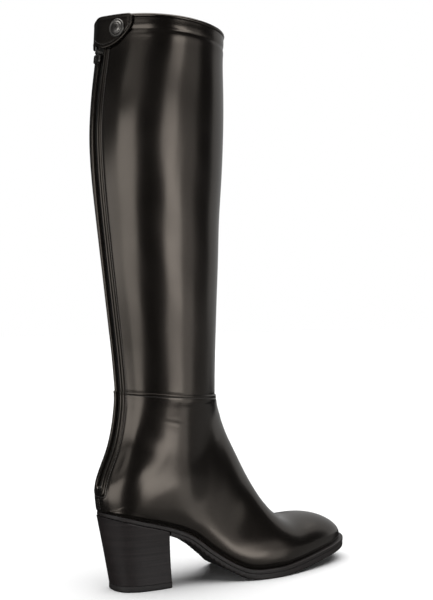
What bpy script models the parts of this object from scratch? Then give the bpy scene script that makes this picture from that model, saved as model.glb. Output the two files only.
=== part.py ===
"""Tall leather boot for the right foot, with a block heel and a zip down the back, as solids.

The tables are in millimetres and the objects in metres. +X points to the toe, +Y to the inner side of
the foot and +Z up. The origin lies on the floor, under the middle of the heel.
"""
import math

import bmesh
import bpy
import numpy as np
from mathutils import Matrix, Vector

MM = 0.001

# Thicknesses and clearances
WALL = 2.0
GAP = 0.3
WELT_THICK = 3.0
INSOLE_THICK = 3.0
INSOLE_INSET = 4.2
SOLE_CHAMFER = 1.2
SEAT_CLEAR = 0.3

# Ankle seam, zip and placket
OVERLAP_STEP = 0.9
OVERLAP_FULL_ROW = 14.0
SEAM_RISE = GAP
SLOT_HALF = 3.7
ZIP_FOOT_Z = 84.0
PLACKET_RAISE = 0.7
PLACKET_RUN = (0.0, 1.4, 5.2, 6.0)
PLACKET_ROWS = 1.5
SLOT_END_RISES = (0.0, 0.5, 1.6, SLOT_HALF)
TAPE_HALF = 9.0
TAPE_THICK = 0.9
TAPE_BEHIND = WALL + GAP + 0.5
TAPE_BELOW_SLOT = 4.0
TAPE_STATIONS = 37
CHAIN_HALF = 2.7
CHAIN_TOP_HALF = 2.4
CHAIN_SUNK = 0.7
TAPE_TOP_Z = 461.0

# Topline bead
BEAD_RADIUS = 1.5
BEAD_SIDES = 8
BEAD_STATIONS = 22
BEAD_CENTRE_RISE = BEAD_RADIUS + GAP + 0.25

# Snap tab and cap
TAB_LOW_Z = 439.5
TAB_RISE = 3.0
TAB_FREE_END = -32.0
TAB_SEWN_END = 29.0
TAB_THICK = 2.0
TAB_CLEAR = 0.95
TAB_BRIDGE = 1.9
TAB_BRIDGE_REACH = 8.5
TAB_BRIDGE_LOW = 0.2
TAB_NOSE = 26.0
TAB_NOSE_Z = 462.0
TAB_NOSE_POWER = 1.8
TAB_CORNER = 3.0
TAB_SEWN_RISE = 6.0
TAB_SEWN_FROM = -7.0
TAB_SEWN_FULL = 10.0
CAP_RADIUS = 7.4
CAP_HEIGHT = 3.0
# Insets from the cap's radius, each with its height
CAP_RIM = ((0.5, 0.0), (0.0, 0.5), (0.0, 1.1), (0.5, 1.6), (1.5, 1.75))
CAP_DOME_INSET = 2.0
CAP_DOME_FOOT = 1.7
CAP_DOME_STEPS = 4
CAP_REACH = -19.0
CAP_Z = 454.5

# Zip slider and pull
PIN_Z = 437.0
PIN_RADIUS = 0.55
PIN_HEIGHT = 4.8
SLIDER_HALF = 3.4
SLIDER_UP = 9.0
SLIDER_DOWN = 2.6
SLIDER_THICK = 1.5
SLIDER_EDGE = 0.4
EAR_THICK = 1.0
EAR_INNER = 1.3
EAR_HALF = 1.2
EAR_EDGE = 0.25
PULL_EYE_RADIUS = 1.6
PULL_EYE_HOLE = 0.9
PULL_EYE_HALF = 1.0
PULL_LENGTH = 9.2
PULL_HALF = 4.3
PULL_THICK = 1.3
PULL_NECK = 2.1
PULL_NECK_WIDTH = 1.7
PULL_NECK_THICK = 1.17
PULL_NECK_SUNK = 1.0
PULL_ROUND = 2.2
PULL_SHOULDER = 1.0
PULL_WINDOW_HALF = 2.2
PULL_WINDOW_LENGTH = 3.6

# Heel
HEEL_SEAT_DEPTH = 3.8
BREAST_X = 13.0
BREAST_GAP = 1.2
BREAST_FOOT_X = 18.5
HEEL_FOOT_BACK_X = -25.5
HEEL_FOOT_HALF = 21.2
HEEL_SQUARE = 2.9
HEEL_SIDE_POINTS = 14
HEEL_RINGS = 6
HEEL_HOLLOW = 0.7
LIFT_THICK = 5.0
LIFT_ROUND = 1.4

# Ribs across the underside of the waist
RIB_FIRST_X = 27.0
RIB_LAST_X = 84.0
RIB_PITCH = 4.4
RIB_DEPTH = 1.0

# The sole along the boot: the height of the feather edge, where the upper meets the sole, on the outer
# side, how much higher it lies on the inner side, how far welt and outsole stand out past it, and the
# outsole's thickness
SOLE_COLUMNS = ("x", "feather_z", "arch", "welt_out", "sole_out", "sole_thick")
SOLE = (
    (-50.0, 69.4, 0.0, 1.2, 0.9, 3.4),
    (-38.0, 66.0, 0.0, 1.2, 0.9, 3.4),
    (-12.0, 58.9, 0.0, 1.2, 0.9, 3.4),
    (13.0, 51.9, 0.0, 1.2, 0.9, 3.4),
    (34.0, 43.2, 5.0, 1.9, 1.0, 3.4),
    (56.0, 27.6, 8.0, 2.5, 1.7, 3.6),
    (75.0, 15.9, 5.6, 3.0, 2.5, 4.2),
    (88.0, 10.3, 2.0, 3.4, 3.1, 4.7),
    (99.0, 8.6, 0.0, 3.5, 3.3, 5.0),
    (117.0, 8.6, 0.0, 3.6, 3.4, 5.0),
    (140.0, 10.8, 0.0, 3.6, 3.4, 5.0),
    (170.0, 14.9, 0.0, 3.6, 3.4, 5.0),
    (200.0, 18.6, 0.0, 3.6, 3.4, 5.0),
    (235.0, 22.4, 0.0, 3.6, 3.4, 5.0),
)
ARCH_FROM_Y = -27.0
ARCH_TO_Y = 22.0

# Sections of the foot, from the toe to the back of the heel. Each stands on the feather edge (seat, half)
# and closes on the ridge over the foot. Wide is the largest half-width to the outer and the inner side,
# lift its height as a share of the section, crown and cup the squareness above and below it.
FOOT_COLUMNS = ("seat_x", "seat_y", "half", "ridge_x", "ridge_y", "ridge_z",
                "wide_out", "wide_in", "lift", "crown", "cup")
FOOT = (
    (215.0, 8.0, 0.0, 213.9, 8.0, 25.8, 0.0, 0.0, 0.30, 2.00, 2.2),
    (213.2, 7.9, 9.0, 211.2, 7.8, 29.0, 9.4, 9.4, 0.30, 2.00, 2.2),
    (208.2, 7.8, 17.4, 204.8, 7.6, 33.8, 18.1, 18.1, 0.30, 2.05, 2.2),
    (199.8, 7.6, 24.6, 194.8, 7.2, 38.9, 25.5, 25.5, 0.30, 2.10, 2.2),
    (187.0, 7.0, 30.6, 181.0, 6.6, 42.4, 31.8, 31.8, 0.30, 2.15, 2.2),
    (170.4, 6.0, 35.1, 164.6, 5.4, 43.0, 36.6, 36.6, 0.30, 2.20, 2.2),
    (150.6, 4.4, 38.4, 147.4, 3.8, 43.4, 40.2, 40.2, 0.28, 2.15, 2.2),
    (129.0, 2.0, 40.0, 132.4, 1.8, 49.0, 42.0, 42.0, 0.26, 2.10, 2.2),
    (107.0, -0.8, 38.4, 119.8, 0.4, 60.6, 40.6, 40.8, 0.24, 2.00, 2.2),
    (85.0, -3.6, 32.2, 110.4, -0.6, 74.0, 35.6, 36.8, 0.24, 1.95, 2.2),
    (61.0, -5.0, 24.8, 102.6, -1.0, 87.5, 29.4, 32.4, 0.25, 1.95, 2.2),
    (36.0, -3.6, 22.8, 95.6, -1.0, 100.0, 28.0, 30.4, 0.27, 2.00, 2.2),
    (11.0, -1.4, 24.2, 89.8, -0.6, 111.0, 28.8, 30.0, 0.30, 2.00, 2.2),
    (-13.0, 0.0, 24.0, 85.6, -0.2, 119.0, 29.3, 29.5, 0.33, 2.00, 2.2),
    (-30.0, 0.0, 16.5, 83.0, 0.0, 124.5, 29.2, 29.2, 0.36, 2.00, 2.2),
    (-37.0, 0.0, 0.0, 81.2, 0.0, 128.5, 29.0, 29.0, 0.38, 2.00, 2.2),
)

# Sections of the leg, from the heel cup up to the topline. Each runs from the centre back to the front.
LEG_COLUMNS = ("back_x", "back_z", "mid_y", "front_x", "front_z", "wide", "lift", "crown", "cup")
LEG = (
    (-38.6, 80.0, 0.0, 79.0, 133.5, 28.8, 0.40, 2.00, 2.15),
    (-35.6, 95.0, 0.0, 77.0, 139.0, 28.4, 0.42, 2.00, 2.05),
    (-28.6, 112.0, 0.0, 74.8, 144.5, 28.4, 0.44, 2.00, 1.98),
    (-23.6, 130.0, 0.0, 73.0, 149.0, 29.2, 0.46, 2.00, 1.92),
    (-21.0, 147.0, 0.0, 71.4, 153.0, 31.0, 0.47, 2.00, 1.88),
    (-20.6, 163.0, 0.0, 70.4, 157.0, 33.0, 0.48, 2.00, 1.86),
    (-24.6, 200.0, -0.6, 69.4, 195.0, 35.8, 0.49, 2.05, 1.86),
    (-30.0, 238.0, -1.6, 69.0, 233.0, 38.8, 0.49, 2.10, 1.86),
    (-35.8, 280.0, -2.6, 69.0, 275.0, 42.0, 0.49, 2.10, 1.87),
    (-41.2, 321.0, -3.8, 69.4, 316.0, 45.4, 0.48, 2.10, 1.88),
    (-45.4, 371.0, -5.6, 70.0, 364.5, 49.2, 0.48, 2.10, 1.90),
    (-42.4, 413.0, -6.0, 69.4, 406.0, 51.0, 0.48, 2.10, 1.90),
    (-38.6, 440.0, -6.2, 67.8, 432.5, 52.4, 0.48, 2.10, 1.90),
    (-36.8, 463.0, -6.2, 67.6, 454.5, 54.0, 0.48, 2.10, 1.90),
)

HEEL_BACK = len(FOOT) - 1
TOP = len(FOOT) + len(LEG) - 1
SEAM_ROW = HEEL_BACK + 6
SIDE_COLUMNS = 12
SECTION_POINTS = 72
OUTLINE_POINTS = 241
FACE_STRIPS = 3
STATION_SPACE = 1.0
WAIST_ROWS = (8.25, 8.75, 9.25, 9.75, 10.25, 10.75, 11.25, 11.75, 12.25)
END_SHARES = (0.0, 0.06, 0.25, 0.55)
OUTER = -1
INNER = 1


def cubic_through(knots, values, flat_start=False, flat_end=False):
    """A smooth curve through values at knots, natural at its ends or flat there."""
    x = np.asarray(knots, float)
    y = np.asarray(values, float)
    count = len(x)
    h = np.diff(x)
    matrix = np.zeros((count, count))
    right = np.zeros(count)
    for i in range(1, count - 1):
        matrix[i, i - 1:i + 2] = h[i - 1], 2 * (h[i - 1] + h[i]), h[i]
        right[i] = 6 * ((y[i + 1] - y[i]) / h[i] - (y[i] - y[i - 1]) / h[i - 1])
    matrix[0, 0] = 1.0
    matrix[-1, -1] = 1.0
    if flat_start:
        matrix[0, :2] = 2 * h[0], h[0]
        right[0] = 6 * (y[1] - y[0]) / h[0]
    if flat_end:
        matrix[-1, -2:] = h[-1], 2 * h[-1]
        right[-1] = -6 * (y[-1] - y[-2]) / h[-1]
    bend = np.linalg.solve(matrix, right)

    def at(t):
        t = min(max(t, x[0]), x[-1])
        i = min(int(np.searchsorted(x, t, side="right")) - 1, count - 2)
        low, high = x[i + 1] - t, t - x[i]
        return float((bend[i] * low ** 3 + bend[i + 1] * high ** 3) / (6 * h[i])
                     + (y[i] / h[i] - bend[i] * h[i] / 6) * low
                     + (y[i + 1] / h[i] - bend[i + 1] * h[i] / 6) * high)
    return at


def steady_through(knots, values):
    """A curve through values at knots that never overshoots them."""
    x = np.asarray(knots, float)
    y = np.asarray(values, float)
    h = np.diff(x)
    rise = np.diff(y) / h
    slope = np.zeros(len(x))
    for i in range(1, len(x) - 1):
        if rise[i - 1] * rise[i] > 0:
            a, b = 2 * h[i] + h[i - 1], h[i] + 2 * h[i - 1]
            slope[i] = (a + b) / (a / rise[i - 1] + b / rise[i])
    slope[0], slope[-1] = rise[0], rise[-1]

    def at(t):
        t = min(max(t, x[0]), x[-1])
        i = min(int(np.searchsorted(x, t, side="right")) - 1, len(x) - 2)
        u = (t - x[i]) / h[i]
        return float((1 + 2 * u) * (1 - u) ** 2 * y[i] + u * (1 - u) ** 2 * h[i] * slope[i]
                     + u * u * (3 - 2 * u) * y[i + 1] + u * u * (u - 1) * h[i] * slope[i + 1])
    return at


def table_column(columns, rows, name):
    return [row[columns.index(name)] for row in rows]


def foot_column(name):
    return table_column(FOOT_COLUMNS, FOOT, name)


def leg_column(name):
    return table_column(LEG_COLUMNS, LEG, name)


def sole_curve(name):
    return steady_through(table_column(SOLE_COLUMNS, SOLE, "x"), table_column(SOLE_COLUMNS, SOLE, name))


FEATHER = sole_curve("feather_z")
ARCH = sole_curve("arch")
WELT_OUT = sole_curve("welt_out")
SOLE_OUT = sole_curve("sole_out")
SOLE_THICK = sole_curve("sole_thick")
FOOT_ROWS = list(range(HEEL_BACK + 1))
BACK_ROWS = list(range(HEEL_BACK, TOP + 1))
ALL_ROWS = list(range(TOP + 1))

SEAT_X = cubic_through(FOOT_ROWS, foot_column("seat_x"), flat_start=True, flat_end=True)
SEAT_Y = cubic_through(FOOT_ROWS, foot_column("seat_y"), flat_start=True)
HALF = cubic_through(FOOT_ROWS, foot_column("half"))
BACK_X = cubic_through(BACK_ROWS, foot_column("seat_x")[-1:] + leg_column("back_x"))
BACK_Z = steady_through(BACK_ROWS, [FEATHER(FOOT[-1][0])] + leg_column("back_z"))
RIDGE_X = cubic_through(ALL_ROWS, foot_column("ridge_x") + leg_column("front_x"), flat_start=True)
RIDGE_Y = cubic_through(ALL_ROWS, foot_column("ridge_y") + leg_column("mid_y"), flat_start=True)
RIDGE_Z = cubic_through(ALL_ROWS, foot_column("ridge_z") + leg_column("front_z"), flat_start=True)
WIDE = {OUTER: cubic_through(ALL_ROWS, foot_column("wide_out") + leg_column("wide")),
        INNER: cubic_through(ALL_ROWS, foot_column("wide_in") + leg_column("wide"))}
LIFT = cubic_through(ALL_ROWS, foot_column("lift") + leg_column("lift"))
CROWN = cubic_through(ALL_ROWS, foot_column("crown") + leg_column("crown"))
CUP = cubic_through(ALL_ROWS, foot_column("cup") + leg_column("cup"))
BACK_Y = cubic_through(BACK_ROWS, foot_column("seat_y")[-1:] + leg_column("mid_y"))


def feather_z(x, y):
    """The height of the feather edge, raised towards the inner side under the arch."""
    return FEATHER(x) + ARCH(x) * (y - ARCH_FROM_Y) / (ARCH_TO_Y - ARCH_FROM_Y)


def row_at(curve, value, first, last):
    """The row between first and last at which a curve that only rises or only falls meets value."""
    rising = curve(last) > curve(first)
    for _ in range(50):
        middle = (first + last) / 2
        if (curve(middle) < value) == rising:
            first = middle
        else:
            last = middle
    return (first + last) / 2


def back_row(z):
    return row_at(BACK_Z, z, HEEL_BACK, TOP)


def slot_half(row):
    """Half the zip slot's width: nothing below the zip, then a round end and an even slot."""
    if row <= HEEL_BACK:
        return 0.0
    up = BACK_Z(row) - ZIP_FOOT_Z
    if up <= 0:
        return 0.0
    if up >= SLOT_HALF:
        return SLOT_HALF
    return math.sqrt(SLOT_HALF ** 2 - (SLOT_HALF - up) ** 2)


SECTION_CACHE = {}


def section(row):
    """Both sides of the section at a row: points from its lower or back end to the ridge, and their run."""
    key = round(row, 7)
    if key in SECTION_CACHE:
        return SECTION_CACHE[key]
    on_foot = row <= HEEL_BACK
    if on_foot:
        seat = np.array((SEAT_X(row), SEAT_Y(row), FEATHER(SEAT_X(row))))
        end = max(HALF(row), 0.0)
    else:
        seat = np.array((BACK_X(row), BACK_Y(row), BACK_Z(row)))
        end = slot_half(row)
    ridge = np.array((RIDGE_X(row), RIDGE_Y(row), RIDGE_Z(row)))
    lift, crown, cup = LIFT(row), CROWN(row), CUP(row)
    sides = {}
    for side in (OUTER, INNER):
        if on_foot:
            seat[2] = feather_z(seat[0], seat[1] + side * end) + SEAT_CLEAR
        wide = max(WIDE[side](row), end + 0.0005)
        start = math.acos(min((end / wide) ** (cup / 2), 1.0))
        angle = np.linspace(-start, math.pi / 2, SECTION_POINTS)
        power = np.where(angle < 0, 2 / cup, 2 / crown)
        out = wide * np.clip(np.cos(angle), 0.0, 1.0) ** power
        sink = (np.abs(np.sin(angle)) / math.sin(start)) ** (2 / cup)
        climb = np.clip(np.sin(angle), 0.0, 1.0) ** (2 / crown)
        along = np.where(angle < 0, lift * (1 - sink), lift + (1 - lift) * climb)
        points = seat + along[:, None] * (ridge - seat)
        points[:, 1] += side * out
        points[0, 1] = seat[1] + side * end
        points[-1] = ridge
        run = np.concatenate(([0.0], np.cumsum(np.linalg.norm(np.diff(points, axis=0), axis=1))))
        sides[side] = (points, run)
    SECTION_CACHE[key] = sides
    return sides


def skin(row, side, run):
    """The upper's outer face at a row and a distance along the section from its lower or back end."""
    points, runs = section(row)[side]
    return np.array([np.interp(run, runs, points[:, axis]) for axis in range(3)])


def around_back(row, reach):
    """A point of the leg at a signed distance from the centre back, bridging the zip slot."""
    half = slot_half(row)
    if abs(reach) >= half:
        return skin(row, OUTER if reach < 0 else INNER, abs(reach) - half)
    share = (reach + half) / (2 * half)
    return (1 - share) * skin(row, OUTER, 0.0) + share * skin(row, INNER, 0.0)


def back_normal(row, reach):
    """The outward direction of the leg near its centre back."""
    step = 0.05
    spread = 1.0
    up = around_back(min(row + step, TOP), reach) - around_back(min(row + step, TOP) - 2 * step, reach)
    over = around_back(row, reach + spread) - around_back(row, reach - spread)
    normal = np.cross(up, over)
    return normal / np.linalg.norm(normal)


def off_back(row, reach, out):
    return around_back(row, reach) + back_normal(row, reach) * out


def column_runs(row, side):
    """Distances along a section for the grid's columns: even on the foot, fixed beside the zip."""
    total = section(row)[side][1][-1]
    even = np.linspace(0.0, total, SIDE_COLUMNS + 1)
    placket = np.concatenate((PLACKET_RUN[:-1],
                              np.linspace(PLACKET_RUN[-1], total, SIDE_COLUMNS + 2 - len(PLACKET_RUN))))
    share = min(max((row - HEEL_BACK) / PLACKET_ROWS, 0.0), 1.0)
    return (1 - share) * even + share * placket


def sole_edge(row, side, out):
    """A point of the sole's outline: the feather edge moved outwards in plan."""
    step = 0.02
    first, last = max(row - step, 0.0), min(row + step, HEEL_BACK)

    def edge(at):
        return np.array((SEAT_X(at), SEAT_Y(at) + side * max(HALF(at), 0.0)))

    if row <= 0:
        normal = np.array((1.0, 0.0))
    elif row >= HEEL_BACK:
        normal = np.array((-1.0, 0.0))
    else:
        tangent = edge(last) - edge(first)
        normal = np.array((tangent[1], -tangent[0])) * side
        normal = normal / np.linalg.norm(normal)
    return edge(row) + normal * out


def sole_drop(x):
    """How much longer a sole layer measures straight down than square to itself."""
    step = 0.5
    slope = (FEATHER(x + step) - FEATHER(x - step)) / (2 * step)
    return math.sqrt(1 + slope * slope)


def sole_outline(out_at):
    """The sole's two sides, as x and y from the heel to the toe, out_at(x) outside the feather edge."""
    rows = np.linspace(HEEL_BACK, 0.0, OUTLINE_POINTS)
    return {side: np.array([sole_edge(row, side, out_at(SEAT_X(row))) for row in rows])
            for side in (OUTER, INNER)}


def sole_stations(outline, first_x=None):
    """Places along a sole layer: the same for every layer, and closer together at its round ends."""
    back, tip = outline[OUTER][0, 0], outline[OUTER][-1, 0]
    rows = [step / 2 for step in range(1, 2 * HEEL_BACK)] + list(WAIST_ROWS)
    start = back if first_x is None else first_x
    shared = sorted(SEAT_X(row) for row in rows)
    shared = [x for x in shared if start + STATION_SPACE < x < tip - STATION_SPACE]
    toe = [tip + share * (shared[-1] - tip) for share in END_SHARES]
    heel = [start + share * (shared[0] - start) for share in END_SHARES]
    return (heel if first_x is None else [first_x]) + shared + toe[::-1]


def sole_spot(outline, side, x, depth):
    """A point of a sole layer's side at a depth below the feather edge."""
    y = float(np.interp(x, outline[side][:, 0], outline[side][:, 1]))
    return x, y, feather_z(x, y) - depth * sole_drop(x)


def new_object(name, bm, colour, roughness, metallic=0.0, smooth_angle=40.0):
    """One sub-part with its own material."""
    mesh = bpy.data.meshes.new(name)
    bmesh.ops.triangulate(bm, faces=[face for face in bm.faces if len(face.verts) > 4])
    bm.to_mesh(mesh)
    bm.free()
    mesh.shade_smooth()
    mesh.set_sharp_from_angle(angle=math.radians(smooth_angle))
    material = bpy.data.materials.new(name)
    material.use_nodes = True
    shader = material.node_tree.nodes["Principled BSDF"]
    shader.inputs["Base Color"].default_value = (*colour, 1.0)
    shader.inputs["Roughness"].default_value = roughness
    shader.inputs["Metallic"].default_value = metallic
    mesh.materials.append(material)
    piece = bpy.data.objects.new(name, mesh)
    bpy.context.scene.collection.objects.link(piece)
    return piece


def grid_sheet(rows, columns, place):
    """A grid of faces whose vertex at row i and column j sits at place(i, j), in millimetres."""
    bm = bmesh.new()
    bm.verts.layers.int.new("row")
    bm.verts.layers.int.new("column")
    row_of, column_of = bm.verts.layers.int["row"], bm.verts.layers.int["column"]
    made = bmesh.ops.create_grid(bm, x_segments=columns - 1, y_segments=rows - 1, size=1.0)
    for index, vert in enumerate(made["verts"]):
        i, j = divmod(index, columns)
        vert[row_of], vert[column_of] = i, j
        vert.co = Vector(place(i, j)) * MM
    return bm


def close_up(bm, caps=True):
    """Weld what meets, fill open ends and turn the faces outwards."""
    bmesh.ops.remove_doubles(bm, verts=bm.verts[:], dist=0.002 * MM)
    bmesh.ops.dissolve_degenerate(bm, edges=bm.edges[:], dist=0.002 * MM)
    if caps:
        bmesh.ops.holes_fill(bm, edges=[edge for edge in bm.edges if edge.is_boundary], sides=0)
    bmesh.ops.recalc_face_normals(bm, faces=bm.faces[:])


def lofted(rings):
    """A closed solid through rings of equal point counts."""
    count = len(rings[0])
    bm = grid_sheet(len(rings), count + 1, lambda i, j: rings[i][j % count])
    close_up(bm)
    return bm


def wall_from(bm, inner_place):
    """Give an open skin its wall: an inner skin set by inner_place, and a rim along every free edge."""
    skin_faces = bm.faces[:]
    rim_edges = [edge for edge in bm.edges if edge.is_boundary]
    inner = {vert: bm.verts.new(inner_place(vert)) for vert in bm.verts[:]}
    for edge in rim_edges:
        loop = edge.link_loops[0]
        a, b = loop.vert, loop.link_loop_next.vert
        bm.faces.new((b, a, inner[a], inner[b]))
    for face in skin_faces:
        bm.faces.new([inner[vert] for vert in reversed(face.verts)])
    return inner


LEATHER = (0.012, 0.011, 0.011)


def upper_rows():
    """Rows of the upper's grid: half steps, a pair at the ankle seam and a few round the zip's foot."""
    rows = {step / 2 for step in range(2 * TOP + 1)}
    rows.add(back_row(BACK_Z(SEAM_ROW) + SEAM_RISE))
    for rise in SLOT_END_RISES:
        rows.add(back_row(ZIP_FOOT_Z + rise))
    rows.discard(HEEL_BACK + PLACKET_ROWS)
    return sorted(rows)


def make_wall(name, rows):
    """A leather wall over some rows of the upper, open at both ends and along the zip."""
    runs = [{side: column_runs(row, side) for side in (OUTER, INNER)} for row in rows]

    def place(i, j):
        side = OUTER if j < SIDE_COLUMNS else INNER
        column = SIDE_COLUMNS - abs(j - SIDE_COLUMNS)
        return skin(rows[i], side, runs[i][side][column])

    bm = grid_sheet(len(rows), 2 * SIDE_COLUMNS + 1, place)
    bmesh.ops.remove_doubles(bm, verts=bm.verts[:], dist=0.002 * MM)
    bmesh.ops.dissolve_degenerate(bm, edges=bm.edges[:], dist=0.002 * MM)
    row_of = bm.verts.layers.int["row"]
    column_of = bm.verts.layers.int["column"]
    bmesh.ops.recalc_face_normals(bm, faces=bm.faces[:])
    bm.normal_update()
    top_face = max(bm.faces, key=lambda face: face.calc_center_median().x)
    if top_face.normal.x < 0:
        bmesh.ops.reverse_faces(bm, faces=bm.faces[:])
    bm.normal_update()
    last_column = 2 * SIDE_COLUMNS

    def on_feather(vert):
        return rows[vert[row_of]] <= HEEL_BACK and vert[column_of] in (0, last_column)

    def inner_place(vert):
        spot = vert.co - vert.normal * WALL * MM
        if on_feather(vert):
            spot.z = (feather_z(spot.x / MM, spot.y / MM) + GAP) * MM
        return spot

    outer_verts = bm.verts[:]
    normals = {vert: vert.normal.copy() for vert in outer_verts}
    wall_from(bm, inner_place)
    placket_columns = len(PLACKET_RUN) - 2
    for vert in outer_verts:
        row = rows[vert[row_of]]
        column = SIDE_COLUMNS - abs(vert[column_of] - SIDE_COLUMNS)
        raised = 0.0
        if row <= SEAM_ROW and not on_feather(vert):
            raised = OVERLAP_STEP * min(row / OVERLAP_FULL_ROW, 1.0)
        if slot_half(row) > 0 and column <= placket_columns:
            raised += PLACKET_RAISE
        vert.co += normals[vert] * raised * MM
    return new_object(name, bm, LEATHER, 0.38)


def make_upper():
    """The upper's two panels: the foot, open below, and the leg, which meet at the ankle seam."""
    rows = upper_rows()
    make_wall("upper", [row for row in rows if row <= SEAM_ROW])
    make_wall("shaft", [row for row in rows if row > SEAM_ROW])


def sole_face(outline, x, depth):
    """Points across one face of a sole layer, from the outer to the inner side."""
    ends = [np.array(sole_spot(outline, side, x, depth)) for side in (OUTER, INNER)]
    return [ends[0] + share * (ends[1] - ends[0]) for share in np.linspace(0.0, 1.0, FACE_STRIPS + 1)]


def sole_plate(outline, top, low):
    """Rings of a plate between two depths below the feather edge."""
    return [sole_face(outline, x, top) + sole_face(outline, x, low)[::-1] for x in sole_stations(outline)]


def make_insole():
    rings = sole_plate(sole_outline(lambda x: -INSOLE_INSET), -INSOLE_THICK, 0.0)
    return new_object("insole", lofted(rings), (0.06, 0.045, 0.035), 0.7)


def make_welt():
    """The welt and midsole plate, which shows as a ledge round the upper."""
    rings = sole_plate(sole_outline(WELT_OUT), GAP, GAP + WELT_THICK)
    return new_object("welt", lofted(rings), (0.016, 0.014, 0.013), 0.5)


def rib_stations():
    """Places across the waist with the height that each is cut back: flat ribs and notches between."""
    stations = []
    x = RIB_FIRST_X
    while x < RIB_LAST_X:
        for share, cut in ((0.0, 0.0), (0.25, RIB_DEPTH), (0.50, 0.0)):
            stations.append((x + share * RIB_PITCH, cut))
        x += RIB_PITCH
    return stations


def make_outsole():
    """The outsole, from the heel's breast to the toe, its lower edge cut back and ribs at the waist."""
    outline = sole_outline(SOLE_OUT)
    under = sole_outline(lambda x: SOLE_OUT(x) - SOLE_CHAMFER)
    top = 2 * GAP + WELT_THICK
    plain = [(x, 0.0) for x in sole_stations(outline, BREAST_X + BREAST_GAP)]
    rings = []
    for x, cut in sorted(plain + rib_stations()):
        low = top + SOLE_THICK(x) - cut
        edge = low - SOLE_CHAMFER
        rings.append(sole_face(outline, x, top) + [sole_spot(outline, INNER, x, edge)]
                     + sole_face(under, x, low)[::-1] + [sole_spot(outline, OUTER, x, edge)])
    return new_object("outsole", lofted(rings), (0.013, 0.012, 0.012), 0.55)


def heel_top_outline():
    """The heel's outline under its seat, from the outer breast corner round the back to the inner one."""
    lines = sole_outline(SOLE_OUT)
    back = lines[OUTER][0, 0]
    outline = []
    for index in range(-HEEL_SIDE_POINTS, HEEL_SIDE_POINTS + 1):
        share = (abs(index) / HEEL_SIDE_POINTS) ** 2
        side = OUTER if index < 0 else INNER
        outline.append(sole_spot(lines, side, back + share * (BREAST_X - back), HEEL_SEAT_DEPTH))
    return outline


def heel_foot_outline(z, inset=0.0):
    """The heel's outline at the floor: straight breast, full round back."""
    length = BREAST_FOOT_X - HEEL_FOOT_BACK_X - 2 * inset
    outline = []
    for index in range(-HEEL_SIDE_POINTS, HEEL_SIDE_POINTS + 1):
        angle = index / HEEL_SIDE_POINTS * math.pi / 2
        back = max(math.cos(angle), 0.0) ** (2 / HEEL_SQUARE)
        across = math.copysign(abs(math.sin(angle)) ** (2 / HEEL_SQUARE), angle)
        outline.append((BREAST_FOOT_X - inset - length * back, (HEEL_FOOT_HALF - inset) * across, z))
    return outline


def make_heel():
    top = np.array(heel_top_outline())
    foot = np.array(heel_foot_outline(LIFT_THICK + GAP))
    rings = []
    for index in range(HEEL_RINGS):
        share = index / (HEEL_RINGS - 1)
        ring = top + share * (foot - top)
        drawn_in = 1 - HEEL_HOLLOW * math.sin(math.pi * share) / HEEL_FOOT_HALF
        ring[:, 1] *= drawn_in
        rings.append(ring)
    return new_object("heel", lofted(rings), (0.018, 0.015, 0.013), 0.45, smooth_angle=35.0)


def make_top_lift():
    rings = [heel_foot_outline(LIFT_THICK), heel_foot_outline(LIFT_ROUND),
             heel_foot_outline(LIFT_ROUND * 0.3, LIFT_ROUND * 0.3), heel_foot_outline(0.0, LIFT_ROUND)]
    return new_object("top_lift", lofted(rings), (0.02, 0.019, 0.019), 0.6, smooth_angle=35.0)


def make_topline_bead():
    """The rolled binding on the topline, from one side of the zip round to the other."""
    path = []
    for side in (OUTER, INNER):
        total = section(TOP)[side][1][-1]
        path.append([skin(TOP, side, total * index / BEAD_STATIONS) for index in range(BEAD_STATIONS + 1)])
    line = np.array(path[0] + path[1][-2::-1])
    tangents = np.gradient(line, axis=0)
    tangents /= np.linalg.norm(tangents, axis=1)[:, None]
    rings = []
    for spot, tangent in zip(line, tangents):
        outward = np.cross(tangent, (0.0, 0.0, 1.0))
        outward /= np.linalg.norm(outward)
        if np.dot(outward[:2], spot[:2] - line[:, :2].mean(axis=0)) < 0:
            outward = -outward
        rise = np.cross(tangent, outward)
        rise *= np.sign(rise[2])
        centre = spot - outward * WALL / 2 + rise * BEAD_CENTRE_RISE
        rings.append([centre + BEAD_RADIUS * (math.cos(turn) * outward + math.sin(turn) * rise)
                      for turn in (2 * math.pi * k / BEAD_SIDES for k in range(BEAD_SIDES))])
    return new_object("topline_bead", lofted(rings), LEATHER, 0.4, smooth_angle=80.0)


def make_zip_tape():
    """The zip: a tape behind the slot with its closed chain standing in it."""
    first, last = back_row(ZIP_FOOT_Z - TAPE_BELOW_SLOT), back_row(TAPE_TOP_Z)
    front, back = -TAPE_BEHIND, -TAPE_BEHIND - TAPE_THICK
    rings = []
    for row in np.linspace(first, last, TAPE_STATIONS):
        rise = -CHAIN_SUNK if slot_half(row) == SLOT_HALF else front
        profile = ((-TAPE_HALF, front), (-CHAIN_HALF, front), (-CHAIN_TOP_HALF, rise), (0.0, rise),
                   (CHAIN_TOP_HALF, rise), (CHAIN_HALF, front), (TAPE_HALF, front),
                   (TAPE_HALF, back), (0.0, back), (-TAPE_HALF, back))
        rings.append([off_back(row, reach, out) for reach, out in profile])
    return new_object("zip_tape", lofted(rings), (0.01, 0.01, 0.01), 0.6)


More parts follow.
